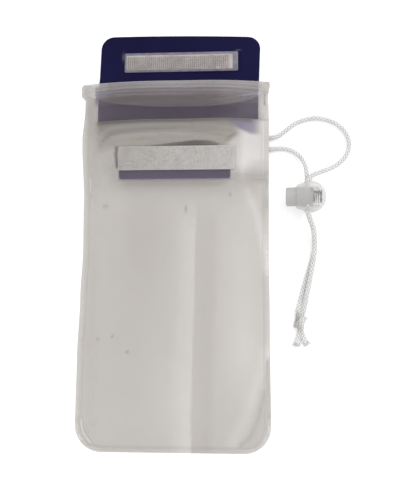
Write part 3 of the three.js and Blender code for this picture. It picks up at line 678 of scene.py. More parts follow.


# Films

# Strokes on the front film: points, half width, height and tone, which whitens as a painted highlight above
# 0, greys as painted shade below 0 and darkens to painted shadow below -1
STROKES = [
    # Folds in the neck, over and inside one another, with painted highlights and shades along them, and a
    # painted shadow at the loop tape's left end
    ([(-39.5, 169.9), (-38.8, 172.9), (-35.6, 174.9), (-25.5, 175.6), (-11, 176.1), (8, 176.2),
      (22, 175.2), (33.6, 172.9), (40, 168.5)], 1.4, 0.2, 0.07),
    ([(-38, 168.4), (-36.4, 170.6), (-31.3, 172), (-23.7, 173.1), (-12, 174), (0, 174.4)],
     1.3, -0.15, -0.34),
    ([(-36.5, 166.5), (-32.2, 168.7), (-25.1, 170), (-17.9, 170.6), (-3.6, 170.8), (10.7, 170.3)],
     1.2, 0.2, 0.1),
    ([(12, 171.6), (18, 171.2), (24, 169.9), (31, 167.6)], 0.8, -0.1, -0.08),
    ([(12, 168.9), (20.7, 167.9), (27.4, 165.6)], 0.9, 0.1, 0.08),
    ([(-21.4, 167.7), (-10.7, 167.9)], 0.5, -0.1, -0.1),
    ([(-30.6, 162.6), (-31.2, 159.7), (-30.8, 156.8), (-30.3, 152.4)], 0.55, -0.1, -1.4),
    ([(-37.5, 165), (-38.5, 158), (-37, 150)], 2, 0.1, 0.08),
    # Seal seen through the lip: painted highlights along two tracks and along the ribbed half's bowed edge
    # with its bright right end, and a painted shade line at the right side
    ([(-44, 194.9), (0, 194.6), (46, 194.3)], 0.3, 0.1, 0.22),
    ([(-31, 192.7), (10, 192.3)], 0.3, 0, 0.14),
    ([(20.4, 188.8), (28.2, 189.7), (35.4, 191.5), (42.5, 193.2), (46.1, 193.8)], 0.4, 0.1, 0.24),
    ([(30.3, 190.2), (46, 190.3)], 0.22, 0, 0.16),
    ([(24, 188.6), (46, 188.7)], 0.22, 0, 0.16),
    ([(-40, 188), (-20, 187.7)], 0.3, 0, 0.12),
    ([(49.6, 195.5), (49.6, 187.7)], 0.35, -0.15, -0.8),
    # Glints and shades along the sides and the lower right corner
    ([(-46.2, 148), (-46.2, 138)], 0.7, 0.1, 0.5),
    ([(50.3, 143), (50.3, 131)], 1.2, 0, -0.08),
    ([(48.4, 31.4), (45.6, 18), (41.4, 8.8), (36.2, 4.2)], 1.3, -0.15, -0.12),
    ([(50.6, 48), (50.9, 20)], 0.6, 0.1, 0.5),
    ([(-48.6, 17), (-47.6, 10.5), (-43.5, 5)], 0.7, 0.15, 0.7),
]
# Painted glints along the right side, laid on as clearer film: points, half width and how much clearer the
# film is
ARCS = [
    ([(40, 139), (45.9, 125.7), (49.6, 106.9), (51, 96.2)], 2.6, 0.24),
    ([(50, 52.6), (45.6, 36), (39.4, 18), (32.6, 6)], 3.6, 0.14),
]
# Soft clouds of painted light and shade: centre x, centre up, reach across, reach along, tone
CLOUDS = [
    (-16, 116, 14, 26, -0.07),
    (-20, 60, 22, 50, -0.03),
    (41, 155, 8, 9, 0.15),
    (42, 169, 9, 7, -0.14),
    (-44, 60, 4, 60, 0.10),
    (-44, 158, 5, 16, -0.10),
    (-47, 188, 4.5, 9, -0.16),
    (-45.5, 175, 4, 9, -0.16),
]
# Where the film is clearer, and so lighter as painted light, given in the same way
CLEARINGS = [
    (36, 104, 10, 26, 0.10),
    (38, 56, 11, 28, 0.19),
    (0, 30, 16, 26, 0.08),
]
# How grey the film is between the flap and the loop tape, a painted shade: (distance up, share)
NECK_SHADE = [(160, 0), (165.5, 0.32), (170.5, 0.36), (173, 0.56), (176, 0.78), (180.5, 0.85)]
# Lower limit of the darker grey-blue patch in the neck's right part, below the flap
TINT_LOW = [(28, 176.4), (32, 174.8), (36.3, 172.2), (41.7, 169.8), (44.5, 169.4)]
# Places on the front film
LIP_UP = 195.4
LIP_LINE_UP = 197.6
SEAL_BRIGHT_UP = 190.5
SEAL_END = (-47, -34)
# Soft limits, each a place and its run: the flap seen through the film, the neck's painted shade, the flap's
# painted shadow, the painted shadow line on the tape's edge, the darker grey-blue patch, and the painted
# glare along the length
FLAP_SIDES = (-44.3, 0.8, 46.6, 0.8)
NECK_SIDES = (-45, 6, 46, 18)
SHADOW_SIDES = (-44, 3, 45, 4)
TAPE_LINE_SIDES = (-33, 3, 27, 5)
TINT_SIDES = (27, 6, 49, 8)
COVER_UPS = (142, 12, 179.1, 1.6)
# The seal's ribbed half: its width in the middle and at the ends, its middle, and its reach to left and right
LENS_MIDDLE = 13.6
LENS_END = 6.8
LENS_CENTRE = 6
LENS_REACH = (50.5, 40.3)
# Strength of each tone, most of them painted highlights, shade and shadows
LIP_LIGHT = 0.40
LIP_LINE_CLEAR = 0.13
RIM_LIGHT = 0.15
SEAL_LIGHT = 0.13
SEAL_TOP_LIGHT = 0.26
SEAL_EDGE_LIGHT = 0.05
SEAL_END_LIGHT = 0.14
SEAL_BLUE = 0.04
OVER_FLAP = -0.35
FLAP_BLUE = 0.25
FLAP_ENDS_BLUE = 0.1
SIDE_CLEAR = 0.19
SIDE_BLUE = 0.10
TINT_BLUE = 0.42
TINT_SHADE = 0.62
GAP_DARK = 0.9
TAPE_LINE_DARK = 0.3
PATCH_LIGHT = 0.02
PATCH_BLUE = 0.5
PATCH_RIM_BLUE = 0.3
BAR_SHADE = 0.17
BEAD_LIGHT = 0.05
BEAD_HEIGHT = 0.14
WELD_SHADE = 0.07
COVER = 0.75
RIPPLE = 0.22
# The fold down the body: its sharp edge, with a band of painted light at the left and a band of painted shade
# at the right
FOLD = [(1.3, 10.3), (27.9, 10.9), (59.2, 11.5), (80.3, 12.1), (127.6, 12.9)]
FOLD_TOP = 136
FOLD_CLEAR = 0.22
FOLD_DARK = -0.06
FOLD_CLEAR_RUN = 15
FOLD_DARK_RUN = 14
# The gap over the loop tape, where the film leaves it, filled with painted shadow
GAP_TOP = [(-17.5, 163.3), (-6.9, 164.2), (3.7, 165.3), (10.8, 166.1), (17.9, 166.1), (22.1, 165.3),
           (26.5, 163.5)]
GAP_DEPTH = [(-17.5, 0), (-10, 0.5), (0, 0.85), (8, 1), (14, 1), (24, 0.6), (26.5, 0)]
# Specks in the film: x, distance up, radius, depth of tone
SPECKS = [
    (30.9, 136.7, 0.9, 0.22), (7.2, 129.8, 0.8, 0.26), (7.2, 128.9, 0.7, 0.26), (7.4, 127.6, 0.5, 0.2),
    (-31.8, 61.1, 0.7, 0.2), (-23.6, 52.7, 0.9, 0.24), (-39.8, 59.5, 0.7, 0.14), (-4.9, 101.7, 0.6, 0.09),
    (-7.2, 67.5, 0.6, 0.08), (-37.9, 131.2, 1, 0.16), (-36.2, 131.4, 0.9, 0.16), (-41.5, 14.9, 0.6, 0.12),
    (34.8, 42.5, 0.7, 0.12), (36.6, 42.4, 0.6, 0.12), (33.6, 72.8, 0.5, 0.08),
]


def film_places(columns, spacing):
    """A grid of places over the body that follows its outline, closer at seams, folds and mouth."""
    corner = CORNER_RADIUS * (1 - np.cos(np.linspace(0, math.pi / 2, 20)))
    seam = SEAM + np.array([-0.35, -0.1, BEAD_AT - 0.2, BEAD_AT, BEAD_AT + 0.2, 0.9])
    stretches = [(CORNER_RADIUS, 148, 1.35), (148, 184, 0.6), (184, BODY_LENGTH, 0.38)]
    ups = [corner, seam]
    for low, high, step in stretches:
        ups.append(np.linspace(low, high, int((high - low) / step / spacing) + 1)[1:])
    ups = np.unique(np.round(np.concatenate(ups), 4))
    inner = np.linspace(0, 1, columns)[1:-1]
    side = np.array(SEAM_COLUMNS)
    rows = []
    for up in ups:
        left, right = float(left_edge(up)), float(right_edge(up))
        reach = SEAM_COLUMNS[-1]
        rows.append(np.concatenate([left + side, left + reach + (right - left - 2 * reach) * inner,
                                    right - side[::-1]]))
    x = np.array(rows)
    return x, np.repeat(ups[:, None], x.shape[1], axis=1)


def seam_bead(x, up):
    """The weld's raised line at its inner side."""
    inside = edge_distance(x, up)
    return bump(inside - seam_at(up) - BEAD_AT, BEAD_WIDTH) * (1 - smooth((up - NECK_UP) / MOUTH_DEPTH * 2))


def fold_bands(x, up):
    """Shares of the clear band of painted light at the fold's left and of the dark band of painted shade at
    its right.
    """
    across = x - level(FOLD, up)
    top = smooth((FOLD_TOP - up) / 20)
    clear = within(across, -FOLD_CLEAR_RUN, FOLD_CLEAR_RUN, 0.5, 1)
    return top * clear, top * within(across, -0.5, 1, FOLD_DARK_RUN, 6)


def lens_low(x):
    """Lower edge of the seal's ribbed half."""
    share = np.abs((x - LENS_CENTRE) / np.where(x < LENS_CENTRE, *LENS_REACH)) ** 3
    return STRIP_TOP_UP - (LENS_MIDDLE + (LENS_END - LENS_MIDDLE) * np.minimum(share, 1.2))


def cover(x, up):
    """A painted glare over the cord behind the right edge: the film is made milky and white there, which
    hides the cord.
    """
    start = 24.5 + 7 * smooth((up - 163) / 8)
    return smooth((x - start) / 7) * within(up, *COVER_UPS)


def corner_tint(x, up):
    """The darker grey-blue patch in the neck's right part, below the flap."""
    return smooth((up - level(TINT_LOW, x) + 0.6) / 3) * within(x, *TINT_SIDES)


def cloud(x, up, centre_x, centre_up, reach_x, reach_up):
    return np.exp(-((x - centre_x) / reach_x) ** 2 - ((up - centre_up) / reach_up) ** 2)


def drawn_marks(x, up):
    """Height, and the painted light, shade and shadow of the fold, the strokes, the clouds and the clear
    places, with the dark of the specks.
    """
    fold_clear, fold_dark = fold_bands(x, up)
    height, dark = np.zeros_like(x), np.zeros_like(x)
    tones = [FOLD_DARK * fold_dark]
    for points, width, rise, tone in STROKES:
        near = bump(line_distance(x, up, points), width)
        height += rise * near
        tones.append(tone * near)
        dark += max(-tone - 1, 0) * near
    tones += [tone * cloud(x, up, *place) for *place, tone in CLOUDS]
    light = sum(np.maximum(tone, 0) for tone in tones) - FOLD_CLEAR * fold_clear
    for *place, amount in CLEARINGS:
        light -= amount * cloud(x, up, *place)
    for points, width, amount in ARCS:
        light -= amount * bump(line_distance(x, up, points), width)
    for speck_x, speck_up, radius, depth in SPECKS:
        dark += depth * np.exp(-(((x - speck_x) ** 2 + (up - speck_up) ** 2) / radius ** 2) ** 2)
    return height, light, sum(np.clip(-tone, 0, 1) for tone in tones), dark


def lip_and_seal(x, up, lip, on_flap):
    """Painted highlights of the lip, with a clearer line in it and a highlight on its rim, and a lighter seal
    below it with a painted highlight along its edge and at its left end, and the seal's share.
    """
    light = OVER_FLAP * on_flap * (1 - lip) + RIM_LIGHT * bump(up - BODY_LENGTH, 0.6)
    light += LIP_LIGHT * lip * (0.86 + 0.14 * np.cos(x / 15))
    light -= LIP_LINE_CLEAR * lip * bump(up - LIP_LINE_UP, 0.5)
    seal = smooth((up - lens_low(x) + 0.2) / 0.4) * (1 - lip)
    light += seal * (SEAL_LIGHT + SEAL_TOP_LIGHT * smooth((up - SEAL_BRIGHT_UP) / 2.5))
    light += SEAL_EDGE_LIGHT * bump(up - lens_low(x), 0.35)
    end = smooth((SEAL_END[1] - x) / 6) * (x > SEAL_END[0])
    return light + SEAL_END_LIGHT * end * smooth((up - MOUTH_UP + 1) / 3), seal


def neck_marks(x, up, on_flap):
    """Painted shade and shadow of the neck: its grey film, the shadow below the flap's lower edge, and the
    shadows in the gap over the loop tape and along the tape's top edge.
    """
    shade = level(NECK_SHADE, up) * within(x, *NECK_SIDES) * (1 - on_flap)
    below_flap = within(x, *SHADOW_SIDES) * (1 - on_flap) * (up < NECK_UP + 1)
    below_flap *= 1 - smooth((NECK_UP + 0.3 - up) / 4)
    gap = within(up, TAPE_HIGH[1] - 0.5, 0.5, level(GAP_TOP, x) + 0.7, 0.7) * level(GAP_DEPTH, x)
    tape_line = within(x, *TAPE_LINE_SIDES) * bump(up - TAPE_HIGH[1], 0.6)
    dark = (1 - 0.2 * smooth((x + 10) / 40)) * below_flap + GAP_DARK * gap + TAPE_LINE_DARK * tape_line
    return shade, dark


def front_marks(x, up):
    """Heights of the front film's fine forms, and its marks: painted highlights, shade, shadows and glare,
    the dark of the specks, and the blue seen through.
    """
    height, light, shade, dark = drawn_marks(x, up)
    on_flap = within(x, *FLAP_SIDES) * smooth((up - NECK_UP + 0.4) / 0.6)
    lip = smooth((up - LIP_UP) / 1.4)
    lip_light, seal = lip_and_seal(x, up, lip, on_flap)
    neck_shade, neck_dark = neck_marks(x, up, on_flap)
    bead = seam_bead(x, up)
    weld = (1 - smooth((edge_distance(x, up) - SEAM + 0.2) / 0.4)) * (up < 6)
    from_patch = rectangle_distance(x, up, PATCH_LOW, PATCH_HIGH)
    on_patch = 1 - smooth(from_patch / 0.3)
    under_bar = bump(up - PATCH_LOW[1] + 1.8, 2) * smooth((31 - np.abs(x - 1)) / 6)
    beside = smooth((x - FLAP_SIDES[2]) / 0.8) * smooth((up - NECK_UP) / 1.5)
    ends = smooth((np.abs(x - 1.5) - 30) / 12) * (1 - lip)
    tint = corner_tint(x, up)
    # Painted highlights of the lip, seal and seam bead, a faint lightening on the patch, and clearer film
    # beside the flap
    light += lip_light + BEAD_LIGHT * bead + PATCH_LIGHT * on_patch - SIDE_CLEAR * beside
    # Painted shade of the neck, a painted shadow under the blue bar, a greyer bottom weld and the darker
    # grey-blue patch
    shade += neck_shade + BAR_SHADE * under_bar + WELD_SHADE * weld + TINT_SHADE * tint * (1 - on_flap)
    blue = on_flap * (FLAP_BLUE * (1 - 0.4 * lip) + FLAP_ENDS_BLUE * ends) + TINT_BLUE * tint * (1 - on_flap)
    blue += PATCH_BLUE * on_patch + PATCH_RIM_BLUE * bump(from_patch, 0.5)
    blue += SEAL_BLUE * seal + SIDE_BLUE * beside
    # The milky veil is a painted glare over the hidden cord
    milky = COVER * cover(x, up) * (1 - tint) * (1 - on_patch)
    # Dark: painted shadows and the specks
    marks = {"shade": shade, "dark": dark + neck_dark, "blue": blue, "cover": milky}
    marks = {name: np.clip(values, 0, 1) for name, values in marks.items()}
    marks["light"] = np.clip(light, -0.4, 1)
    return height + BEAD_HEIGHT * bead, marks


def front_film(material):
    x, up = film_places(112, 1)
    height, marks = front_marks(x, up)
    ripple = RIPPLE * np.sin(x / 6.3 + 0.7) * np.sin(up / 17) * smooth((edge_distance(x, up) - 5) / 10)
    calm = 1 - plateau_share(x, up)
    low = front_low(x, up) + (height + ripple) * calm + height * (1 - calm) * 0.3
    low = np.maximum(low, FILM)
    opened = np.clip((low - FILM) / MOUTH_GAP, 0, 1)
    dip = LIP_DIP * opened * smooth((up - STRIP_TOP_UP) / (BODY_LENGTH - STRIP_TOP_UP))
    thing = shell("front_film_sheet", x, up - dip, low, low + FILM, material, marks)
    stand_in(thing, "front_film")


def back_film(material):
    x, up = film_places(60, 2.2)
    low = lift(x, up)
    # A faint painted highlight along the seam's bead
    marks = {"light": 0.06 * seam_bead(x, up)}
    thing = shell("back_film_sheet", x, up, low, low + FILM, material, marks)
    stand_in(thing, "back_film")


# Flap

def flap_sheet(material):
    width = BODY_WIDTH - 2 * FLAP_INSET
    length = TOTAL_LENGTH - MOUTH_UP
    top = TOTAL_LENGTH - FLAP_SKEW * (width / 2 - FLAP_CORNER)
    drop_from = BODY_LENGTH + LIP_MARGIN
    straight = np.linspace(NECK_UP, top - FLAP_CORNER, 84)
    rounds = top - FLAP_CORNER * (1 - np.sin(np.linspace(0, math.pi / 2, 22)))
    ups = np.concatenate([straight, rounds[1:]])[:, None]
    over = np.maximum(ups - top + FLAP_CORNER, 0)
    inset = FLAP_CORNER - np.sqrt(np.maximum(FLAP_CORNER ** 2 - over ** 2, 0))
    along = np.maximum(ups - MOUTH_UP, 0) / length
    centre = FLAP_CENTRE_X + FLAP_SKEW * along * length + FLAP_SHIFT * along
    share = np.linspace(-1, 1, 160)[None, :]
    x = centre + (width / 2 - inset) * share
    up = np.repeat(ups, x.shape[1], axis=1)
    on_film = 1 - smooth((up - drop_from) / LIP_STEP)
    low = FILM * on_film + lift(x, up) + curved_clearance(x, up)
    arch = (FLAP_ARCH * share ** 2 - FLAP_RISE) * along ** 2
    laid_up = up - FLAP_SKEW * along * (x - centre) - arch
    near_tape = rectangle_distance(x, laid_up, HOOK_LOW, HOOK_HIGH)
    press = bump(near_tape - PRESS_AT, PRESS_WIDTH) * smooth((up - drop_from - LIP_STEP) / 1)
    rim = bump(width / 2 - inset - np.abs(x - centre), 0.5)
    high = low + FLAP_THICKNESS - PRESS_DEPTH * press * 0.8 - 0.12 * rim
    left_end = np.exp(-((x - HOOK_LOW[0] + 0.7) / 0.7) ** 2 - ((laid_up - HOOK_HIGH[1] + 2) / 2) ** 2)
    corner_end = np.exp(-((x - HOOK_HIGH[0]) / 1.4) ** 2 - ((laid_up - HOOK_HIGH[1] - 0.8) / 0.35) ** 2)
    # Painted highlights at the hook tape's left end and at its upper right corner
    marks = {"painted_highlight": 0.32 * left_end + 0.3 * corner_end}
    thing = shell("flap_film", x, laid_up, low, high, material, marks)
    stand_in(thing, "flap_sheet")


# Tapes

def rounded_rectangle(low, high, corner, inset, z, per_corner=6):
    """One ring of a slab: a rectangle with rounded corners."""
    points = []
    radius = max(corner - inset, 0.05)
    for quarter, (sx, sy) in enumerate(((1, -1), (1, 1), (-1, 1), (-1, -1))):
        cx = (high[0] if sx > 0 else low[0]) - sx * (inset + radius)
        cy = (high[1] if sy > 0 else low[1]) - sy * (inset + radius)
        for k in range(per_corner + 1):
            angle = math.radians(-90 + 90 * (quarter + k / per_corner))
            points.append((cx + radius * math.cos(angle), BOTTOM_Y + cy + radius * math.sin(angle), z))
    return points


def slab(name, low, high, corner, edge, z_low, z_high, material):
    """A slab with rounded corners and a rounded rim on top."""
    levels = [(edge / 2, z_low), (0, z_low + edge / 2)]
    for angle in np.linspace(0, math.pi / 2, 5):
        levels.append((edge * (1 - math.cos(angle)), z_high - edge * (1 - math.sin(angle))))
    rings = [rounded_rectangle(low, high, corner, inset, z) for inset, z in levels]
    return rings_object(name, rings, material)


def copies(name, template, faces, places, turns, sizes, material):
    """One mesh of many small copies of a template, each placed, turned about z and sized."""
    template = np.asarray(template, dtype=float)
    faces = [np.asarray(face) for face in faces]
    cos, sin = np.cos(turns), np.sin(turns)
    x = cos[:, None] * template[:, 0] - sin[:, None] * template[:, 1]
    y = sin[:, None] * template[:, 0] + cos[:, None] * template[:, 1]
    z = np.broadcast_to(template[:, 2], x.shape)
    points = np.stack([x, y, z], axis=-1) * sizes[:, None, None] + places[:, None, :]
    all_faces = [face + k * len(template) for k in range(len(places)) for face in faces]
    return new_object(name, points.reshape(-1, 3), all_faces, material)


def hook_template():
    """A moulded hook: a stem that leans over into a short point."""
    outline = [(0.32, 0), (0.26, 0.45), (0.12, 0.62), (-0.12, 0.62), (-0.30, 0.46), (-0.34, 0.30),
               (-0.20, 0.34), (-0.08, 0.44), (0.02, 0.40), (0, 0)]
    half = 0.24
    points = [(-half, y, z) for y, z in outline] + [(half, y, z) for y, z in outline]
    count = len(outline)
    faces = [(k, (k + 1) % count, count + (k + 1) % count, count + k) for k in range(count)]
    faces += [tuple(range(count - 1, -1, -1)), tuple(range(count, 2 * count))]
    return points, faces


def hook_tape(tape, edge):
    base_high = HOOK_LOW[2] + 0.62
    plate = slab("hook_plate", HOOK_LOW, HOOK_HIGH, 0.9, 0.3, HOOK_LOW[2], base_high, edge)
    left, right = HOOK_LOW[0] + HOOK_BORDER, HOOK_HIGH[0] - HOOK_END
    low, high = HOOK_LOW[1] + HOOK_BORDER + 0.3, HOOK_HIGH[1] - HOOK_BORDER - 0.5
    field = slab("hook_field", (left, low), (right, high), 0.4, 0.1, base_high - 0.3, base_high + 0.06, tape)
    columns = int((right - left - 0.8) / HOOK_PITCH_X)
    rows = int((high - low - 0.8) / HOOK_PITCH_Y)
    xs = left + 0.8 + HOOK_PITCH_X * np.arange(columns)
    ys = BOTTOM_Y + low + 0.6 + HOOK_PITCH_Y * np.arange(rows)
    x, y = np.meshgrid(xs, ys)
    places = np.stack([x.ravel(), y.ravel(), np.full(x.size, base_high)], axis=1)
    places[:, :2] += RANDOM.normal(0, 0.035, (len(places), 2))
    kept = RANDOM.random(len(places)) > 0.03
    places = places[kept]
    flips = np.where(np.arange(len(places)) % 2 == 0, 0, math.pi)
    turns = flips + RANDOM.normal(0, 0.12, len(places))
    sizes = RANDOM.normal(1, 0.06, len(places))
    points, faces = hook_template()
    hooks = copies("hooks", points, faces, places, turns, sizes, tape)
    plate.data.materials.append(tape)
    tape_piece = joined("hook_tape", [plate, field, hooks])
    stand_in(tape_piece, "flap_hook_tape")


def loop_template():
    """A loop of fibre standing on the tape."""
    rings, sides = 6, 3
    points = []
    for k in range(rings):
        angle = math.pi * k / (rings - 1)
        outward = np.array([0, math.cos(angle), math.sin(angle)])
        centre = LOOP_RADIUS * outward * (1, 1, LOOP_HEIGHT)
        for j in range(sides):
            around = 2 * math.pi * j / sides
            wire = math.cos(around) * outward + math.sin(around) * np.array([1, 0, 0])
            points.append(centre + LOOP_WIRE * wire)
    return points, ring_faces(rings, sides)


def loop_tape(tape):
    base_high = TAPE_LOW[2] + 0.85
    plate = slab("loop_plate", TAPE_LOW, TAPE_HIGH, 0.8, 0.3, TAPE_LOW[2], base_high, tape)
    area = (TAPE_HIGH[0] - TAPE_LOW[0] - 0.8) * (TAPE_HIGH[1] - TAPE_LOW[1] - 0.8)
    count = int(area * LOOPS_PER_SQUARE)
    x = RANDOM.uniform(TAPE_LOW[0] + 0.4, TAPE_HIGH[0] - 0.4, count)
    up = RANDOM.uniform(TAPE_LOW[1] + 0.4, TAPE_HIGH[1] - 0.4, count)
    places = np.stack([x, BOTTOM_Y + up, np.full(count, base_high - 0.03)], axis=1)
    points, faces = loop_template()
    pile = copies("loop_pile", points, faces, places, RANDOM.uniform(0, math.pi, count),
                  RANDOM.uniform(0.7, 1.1, count), tape)
    tape_piece = joined("loop_tape", [plate, pile])
    x = points_mm(tape_piece)[:, 0]
    # Painted glare: the loop tape grows lighter towards its right end
    set_mark(tape_piece, "painted_glare", 0.08 * smooth((x - 16) / 14) + 0.18 * smooth((x - 29) / 5))
    stand_in(tape_piece, "front_loop_tape")


# Press seal

SEAL_STATIONS = 90
SEAL_BASE = 0.4
SEAL_TRACK_HEIGHTS = (0.04, 0.9)
SEAL_CRIMP_RUN = 7
TRACKS_BELOW_TOP = (1.9, 5.6)
# A wall beside a groove and a whole rib, as (distance from the track, share of the height)
GROOVE_WALL = [(1.3, 0), (1.3, 0.8), (1.1, 1), (0.55, 1), (0.55, 0.75), (0.7, 0)]
RIB = [(-0.2, 0), (-0.2, 0.55), (-0.4, 0.65), (-0.1, 1), (0.1, 1), (0.4, 0.65), (0.2, 0.55), (0.2, 0)]


def groove_section(low_up, floor, tall):
    """Section of the grooved half, with a wall at each side of each track."""
    face = floor + SEAL_BASE
    section = [(low_up, floor), (STRIP_TOP_UP, floor), (STRIP_TOP_UP, face)]
    for below in TRACKS_BELOW_TOP:
        track = STRIP_TOP_UP - below
        for side in (1, -1):
            wall = [(track + side * across, face + tall * share) for across, share in GROOVE_WALL]
            section += wall[::side]
    return [*section, (low_up, face)]


def rib_section(lens, roof, sag, tall):
    """Section of the ribbed half, whose ribs hang from it."""
    face = roof - SEAL_BASE
    section = [(lens, face + sag)]
    for below in TRACKS_BELOW_TOP[::-1]:
        section += [(STRIP_TOP_UP - below + across, face - tall * share) for across, share in RIB]
    return [*section, (STRIP_TOP_UP, face), (STRIP_TOP_UP, roof), (lens, roof + sag)]


def seal_strips(material):
    low, high = box_mm("seal_groove_strip")
    flat, full = SEAL_TRACK_HEIGHTS
    groove, rib = [], []
    for x in np.linspace(low[0], high[0], SEAL_STATIONS):
        tall = flat + (full - flat) * smooth(min(x - low[0], high[0] - x) / SEAL_CRIMP_RUN)
        lens = lens_low(x)
        roof = front_low(x, MOUTH_UP) - CLEARANCE
        sag = min(front_low(x, lens) - CLEARANCE - roof, 0)
        groove.append([(x, BOTTOM_Y + up, z) for up, z in groove_section(low[1], low[2], tall)])
        rib.append([(x, BOTTOM_Y + up, z) for up, z in rib_section(lens, roof, sag, tall)])
    for name, node, rings in (("grooved_seal_strip", "seal_groove_strip", groove),
                              ("ribbed_seal_strip", "seal_rib_strip", rib)):
        strip = rings_object(name, rings, material)
        strip.data.set_sharp_from_angle(angle=math.radians(35))
        stand_in(strip, node)


# Cord lock

def lathe_x(name, profile, centre, segments, material):
    """A body turned about the x axis from (radius, x) points."""
    rings = []
    for angle in np.linspace(0, 2 * math.pi, segments, endpoint=False):
        rings.append([(centre[0] + x, centre[1] + r * math.cos(angle), centre[2] + r * math.sin(angle))
                      for r, x in profile])
    count = len(profile)
    faces = []
    for i in range(segments):
        nxt = (i + 1) % segments
        for j in range(count - 1):
            faces.append((i * count + j, i * count + j + 1, nxt * count + j + 1, nxt * count + j))
    thing = new_object(name, rings, faces, material)
    select([thing])
    bpy.ops.object.mode_set(mode="EDIT")
    bpy.ops.mesh.select_all(action="SELECT")
    bpy.ops.mesh.remove_doubles(threshold=1e-7)
    bpy.ops.mesh.normals_make_consistent(inside=False)
    bpy.ops.object.mode_set(mode="OBJECT")
    return thing


def cut_by(thing, cutter):
    """Cuts a body by another and takes the other away."""
    select([thing])
    change = thing.modifiers.new("cut", "BOOLEAN")
    change.operation = "DIFFERENCE"
    change.solver = "EXACT"
    change.object = cutter
    bpy.ops.object.modifier_apply(modifier=change.name)
    bpy.data.objects.remove(cutter)
    thing.data.set_sharp_from_angle(angle=math.radians(40))


def slot_cutter(centre, slot, reach, flare, flare_from, material):
    """A stadium-shaped hole along y that widens where it comes out."""
    at, half = slot
    rings = []
    for y, widen in ((-reach, flare), (-flare_from, 0), (flare_from, 0), (reach, flare)):
        ring = []
        for k in range(32):
            angle = 2 * math.pi * k / 32
            straight = max(SLOT_HALF_HEIGHT - half, 0) * (1 if math.sin(angle) >= 0 else -1)
            ring.append((centre[0] + at + (half + widen) * math.cos(angle), centre[1] + y,
                         centre[2] + straight + (half + widen) * math.sin(angle)))
        rings.append(ring)
    return rings_object("cutter", rings, material)


# Sizes of the cord lock, with places along x taken from the middle of its ball
BALL_SEGMENTS = 72
BUTTON_SEGMENTS = 64
BALL_TURN = 120
BORE = 5.4
POCKET = 3.9
POCKET_FROM = 4.8
POCKET_TO = 6.3
# Slots for the strands, as place and half width along x
SLOT_HALF_HEIGHT = 3.3
BARREL_SLOT = (-1.6, 1.8)
BUTTON_SLOT = (-3.15, 3.25)
SLOT_FLARE = 1.5
SLOT_FLARE_DEPTH = 2.6
BUTTON = 5.1
BUTTON_ROUND = 0.9
BUTTON_WEB = 0.8
BUTTON_STUD = 2.3
COIL = 3.2
COIL_WIRE = 0.275
COIL_TURNS = 4.5
COIL_REST = 0.12
WINDOW_BEFORE = 3


def lock_barrel(centre, radius, collar, material):
    """The ball with its collar, bore and spring pocket, and a slot for both strands."""
    ball = [(radius * math.sin(math.radians(a)), radius * math.cos(math.radians(a)))
            for a in range(0, BALL_TURN + 1, 3)]
    ball += [(6.75, -5.6), (6.45, -6.6), (6.3, collar + 0.35), (6.1, collar), (5.6, collar),
             (BORE, collar + 0.2), (BORE, POCKET_FROM - 0.2), (BORE - 0.2, POCKET_FROM),
             (POCKET, POCKET_FROM), (POCKET, POCKET_TO - 0.1), (POCKET - 0.1, POCKET_TO), (0, POCKET_TO)]
    barrel = lathe_x("cord_lock_barrel", ball, centre, BALL_SEGMENTS, material)
    straight = radius - SLOT_FLARE_DEPTH
    cut_by(barrel, slot_cutter(centre, BARREL_SLOT, radius + 1, SLOT_FLARE, straight, material))
    low, high = box_mm("lock_spring")
    x, y, _ = points_mm(barrel).T
    window = within(x, low[0] - WINDOW_BEFORE, 1.2, high[0] + 0.8, 0.8)
    set_mark(barrel, "clear", window * (1 - smooth((np.abs(y - centre[1]) - COIL) / 1)))
    stand_in(barrel, "lock_barrel")


def lock_button(centre, material):
    """The push button with its rounded face, its stud for the spring and a slot for both strands."""
    low, high = box_mm("lock_plunger")
    face, back = low[0] - centre[0], high[0] - centre[0]
    web = back - BUTTON_WEB
    turned = [(0, back), (BUTTON_STUD - 0.1, back), (BUTTON_STUD, back - 0.1), (BUTTON_STUD, web),
              (BUTTON - 0.15, web), (BUTTON, web - 0.15)]
    for angle in np.linspace(0, math.pi / 2, 7):
        turned.append((BUTTON - BUTTON_ROUND * (1 - math.cos(angle)),
                       face + BUTTON_ROUND * (1 - math.sin(angle))))
    turned += [(BUTTON - 1.6, face + 0.12), (BUTTON - 2.4, face + 0.22), (0, face + 0.28)]
    button = lathe_x("cord_lock_button", turned, centre, BUTTON_SEGMENTS, material)
    cut_by(button, slot_cutter(centre, BUTTON_SLOT, 9, 0, 3, material))
    stand_in(button, "lock_plunger", "plunger")


def lock_spring(centre, material):
    """A coil with closed ends."""
    low, high = box_mm("lock_spring")
    coil_from, coil_to = low[0] + COIL_WIRE, high[0] - COIL_WIRE
    t = np.linspace(0, 1, 160)
    ease = np.clip((t - COIL_REST) / (1 - 2 * COIL_REST), 0, 1)
    angle = 2 * math.pi * COIL_TURNS * t
    path = np.stack([coil_from + (coil_to - coil_from) * ease, centre[1] + COIL * np.cos(angle),
                     centre[2] + COIL * np.sin(angle)], axis=1)
    spring = rings_object("cord_lock_spring", tube_rings(path, COIL_WIRE, 8), material)
    stand_in(spring, "lock_spring")
    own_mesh(spring)


def cord_lock(milky, button, steel):
    low, high = box_mm("lock_barrel")
    radius = (high[2] - low[2]) / 2
    centre = (high[0] - radius, BOTTOM_Y + (low[1] + high[1]) / 2, (low[2] + high[2]) / 2)
    lock_barrel(centre, radius, low[0] - centre[0], milky)
    lock_button(centre, button)
    lock_spring(centre, steel)


# Knot with frayed tails, drawn from the knot's middle: two strands over, round and through

